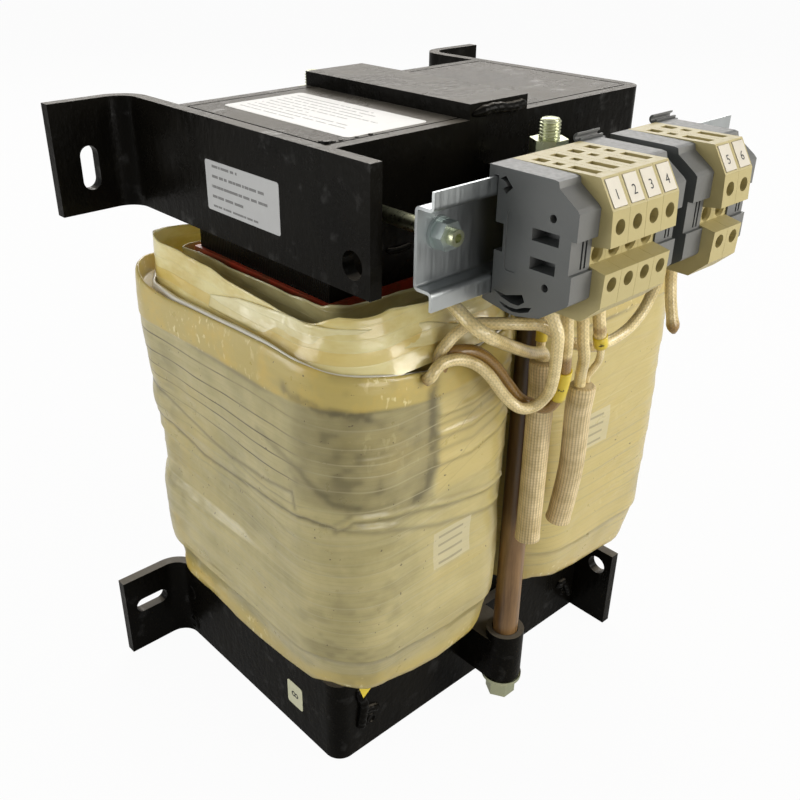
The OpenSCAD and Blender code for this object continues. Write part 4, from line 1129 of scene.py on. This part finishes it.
dress_cad_nodes()
winding("coil_left", tape_left, 11, (3.0, 4.2, 5.6, 9.0, 13.0), marks_left, FOOT_LEFT)
winding("coil_right", tape_right, 47, (4.0, 6.0, 9.5, 14.0), marks_right, FOOT_RIGHT)
for side, seed in (("left", 3), ("right", 8)):
    film_collar(f"outer_collar_{side}", film_amber, seed, 1.2, 0.9, 18)
    film_collar(f"inner_collar_{side}", film_milky, seed + 30, 0.5, 0.5, 6)
film_band("outer_collar_left", film_pale, 3, 0.9, 18)
for node in LEADS:
    (sleeve_piece if node.startswith("braided") else lead_piece)(node)
marker("marker_2", "lead_2", 178.5, 165.0, 2.5, "2")
marker("marker_4", "lead_4", 188.2, 182.6, 2.45, "4")
for name, radius, look, *route in (
        ("spare_lead", 1.6, lead_look,
         (-8.4, -71.6, 171), (-8.2, -71.4, 176), (-8.0, -71.2, 183), (-7.9, -71, 190)),
        ("marker_spare", 2.05, marker_look, (-8.1, -71.3, 179.8), (-8.0, -71.2, 183), (-7.95, -71.1, 186.8))):
    points = smooth_route(route, 6)
    tube(name, points, [radius] * len(points), look)
threaded_rods()
number_terminals()
yellow_slip()
card("rating_card", (-63.3, 31, 250), (66, 34.1), rating_card, up=(1, 0, 0), round_by=2.0)
card("side_card", (-78.3, 21, 219.2), (41, 17), grey_card, round_by=0.9)
card("number_card", (-78.3, -9.8, 11.8), (10, 12.6), number_card, round_by=1.4)
digit("number_card_digit", "8", 4.4, lambda x, y: (-78.47, -14.8 - y, 18.2 - x))
for name, radius, *route in (
        ("bead_strap", 1.7, (-17, -42.4, 251.6), (-8, -42.9, 252.6), (2, -42.8, 251.8), (9, -42.4, 252.4)),
        ("bead_plate_top", 1.0, (-54, -42.5, 214.6), (-49, -42.9, 214.0), (-43, -42.5, 214.4)),
        ("bead_corner_bottom", 2.1, (-67.5, -42.2, 34), (-64.6, -42.8, 26), (-65.4, -42.6, 18),
         (-66, -42.2, 12)),
        ("bead_corner_side", 1.6, (-64, -42.2, 21), (-60, -42.7, 20), (-56.6, -42.2, 18)),
        ("bead_right_bottom", 1.9, (60, -42.2, 17), (65, -43.0, 18.5), (69, -42.8, 13), (72, -42.2, 6))):
    weld_bead(name, radius, *route)
for name, centre, out, radius, height, hole in (
        ("plug_weld", (-78.3, 65.5, 24), (-1, 0, 0), 4.2, 0.5, 0),
        ("plug_ring", (-78.3, 65.0, 5.3), (-1, 0, 0), 4.0, 0.6, 2.0),
        ("dimple_bottom", (-60.1, -42.3, 13.7), (0, -1, 0), 2.5, 0.5, 1.7),
        ("ring_right_bottom", (66.5, -42.3, 12), (0, -1, 0), 2.6, 0.7, 1.5)):
    weld_disc(name, centre, out, radius, height, hole)
for number, (x, y, radius) in enumerate(((-71.8, -35.7, 1.5), (-69.6, -36.0, 0.9), (-72.3, -33.6, 0.8),
                                         (-66.8, -36.2, 0.7), (-60.5, -36.1, 0.6), (-55.0, -36.2, 0.8)), 1):
    weld_disc(f"varnish_drop_{number}", (x, y, 250), (0, 0, 1), radius, 0.45 * radius)


# ---- stage and light

FLOOR_SHOWN, FLOOR_MIRRORED = 0.96, 0.20  # share of plain white that the camera and that gloss see
WORLD_MIRRORED, WORLD_LIGHT = 0.25, 0.30


def floor_material():
    s = Shader("floor")
    s.set(Base_Color=(0.55, 0.55, 0.54, 1), Roughness=0.9)
    glow = s.add("ShaderNodeEmission", {"Color": (1, 1, 1, 1), "Strength": 1.0})
    near, far = s.rays()
    share = s.math("MAXIMUM", s.math("MULTIPLY", near, FLOOR_SHOWN), far * FLOOR_MIRRORED)
    blend = s.add("ShaderNodeMixShader", {0: share, 1: s.surface.outputs[0], 2: glow.outputs[0]})
    s.join(blend.outputs[0], s.tree.nodes["Material Output"].inputs["Surface"])
    return s.material


def add_floor():
    size = 6
    mesh = bpy.data.meshes.new("floor")
    corners = [(-size, -size, 0), (size, -size, 0), (size, size, 0), (-size, size, 0)]
    mesh.from_pydata(corners, [], [(0, 1, 2, 3)])
    mesh.materials.append(floor_material())
    floor = bpy.data.objects.new("floor", mesh)
    floor.location.z = -0.0002
    bpy.context.scene.collection.objects.link(floor)


def add_world():
    """Plain white for the camera, a share of it for gloss, and a weak warm light on everything."""
    world = bpy.data.worlds.new("studio")
    bpy.context.scene.world = world
    world.use_nodes = True
    world.node_tree.nodes.clear()
    w = Nodes(world.node_tree)
    near, far = w.rays()
    share = w.value("ShaderNodeMath", 0, {0: far, 1: WORLD_MIRRORED, 2: near}, operation="MULTIPLY_ADD",
                    use_clamp=True)
    lit = w.value("ShaderNodeBackground", 0, {0: (1.0, 0.985, 0.96, 1), 1: WORLD_LIGHT})
    seen = w.value("ShaderNodeBackground", 0, {0: (1, 1, 1, 1)})
    w.add("ShaderNodeOutputWorld", {0: w.value("ShaderNodeMixShader", 0, {0: share, 1: lit, 2: seen})})


def add_lamp(name, location, size, power, colour):
    data = bpy.data.lights.new(name, "AREA")
    data.shape = "RECTANGLE"
    data.size, data.size_y = size
    data.energy = power
    data.color = colour
    lamp = bpy.data.objects.new(name, data)
    lamp.location = location
    lamp.rotation_euler = (Vector((0, 0, 0.12)) - lamp.location).to_track_quat("-Z", "Y").to_euler()
    bpy.context.scene.collection.objects.link(lamp)


add_floor()
add_world()
add_lamp("key_right", (0.80, -1.05, 0.70), (0.6, 0.8), 12, (1.0, 0.965, 0.90))
add_lamp("front_low", (-0.05, -1.30, 0.10), (0.9, 0.5), 6.5, (1.0, 0.975, 0.93))
add_lamp("window_left", (-0.95, 0.45, 0.30), (0.7, 0.7), 5.5, (1.0, 0.985, 0.95))
add_lamp("back_top", (0.85, 0.98, 1.05), (1.5, 0.9), 18, (1.0, 0.97, 0.93))
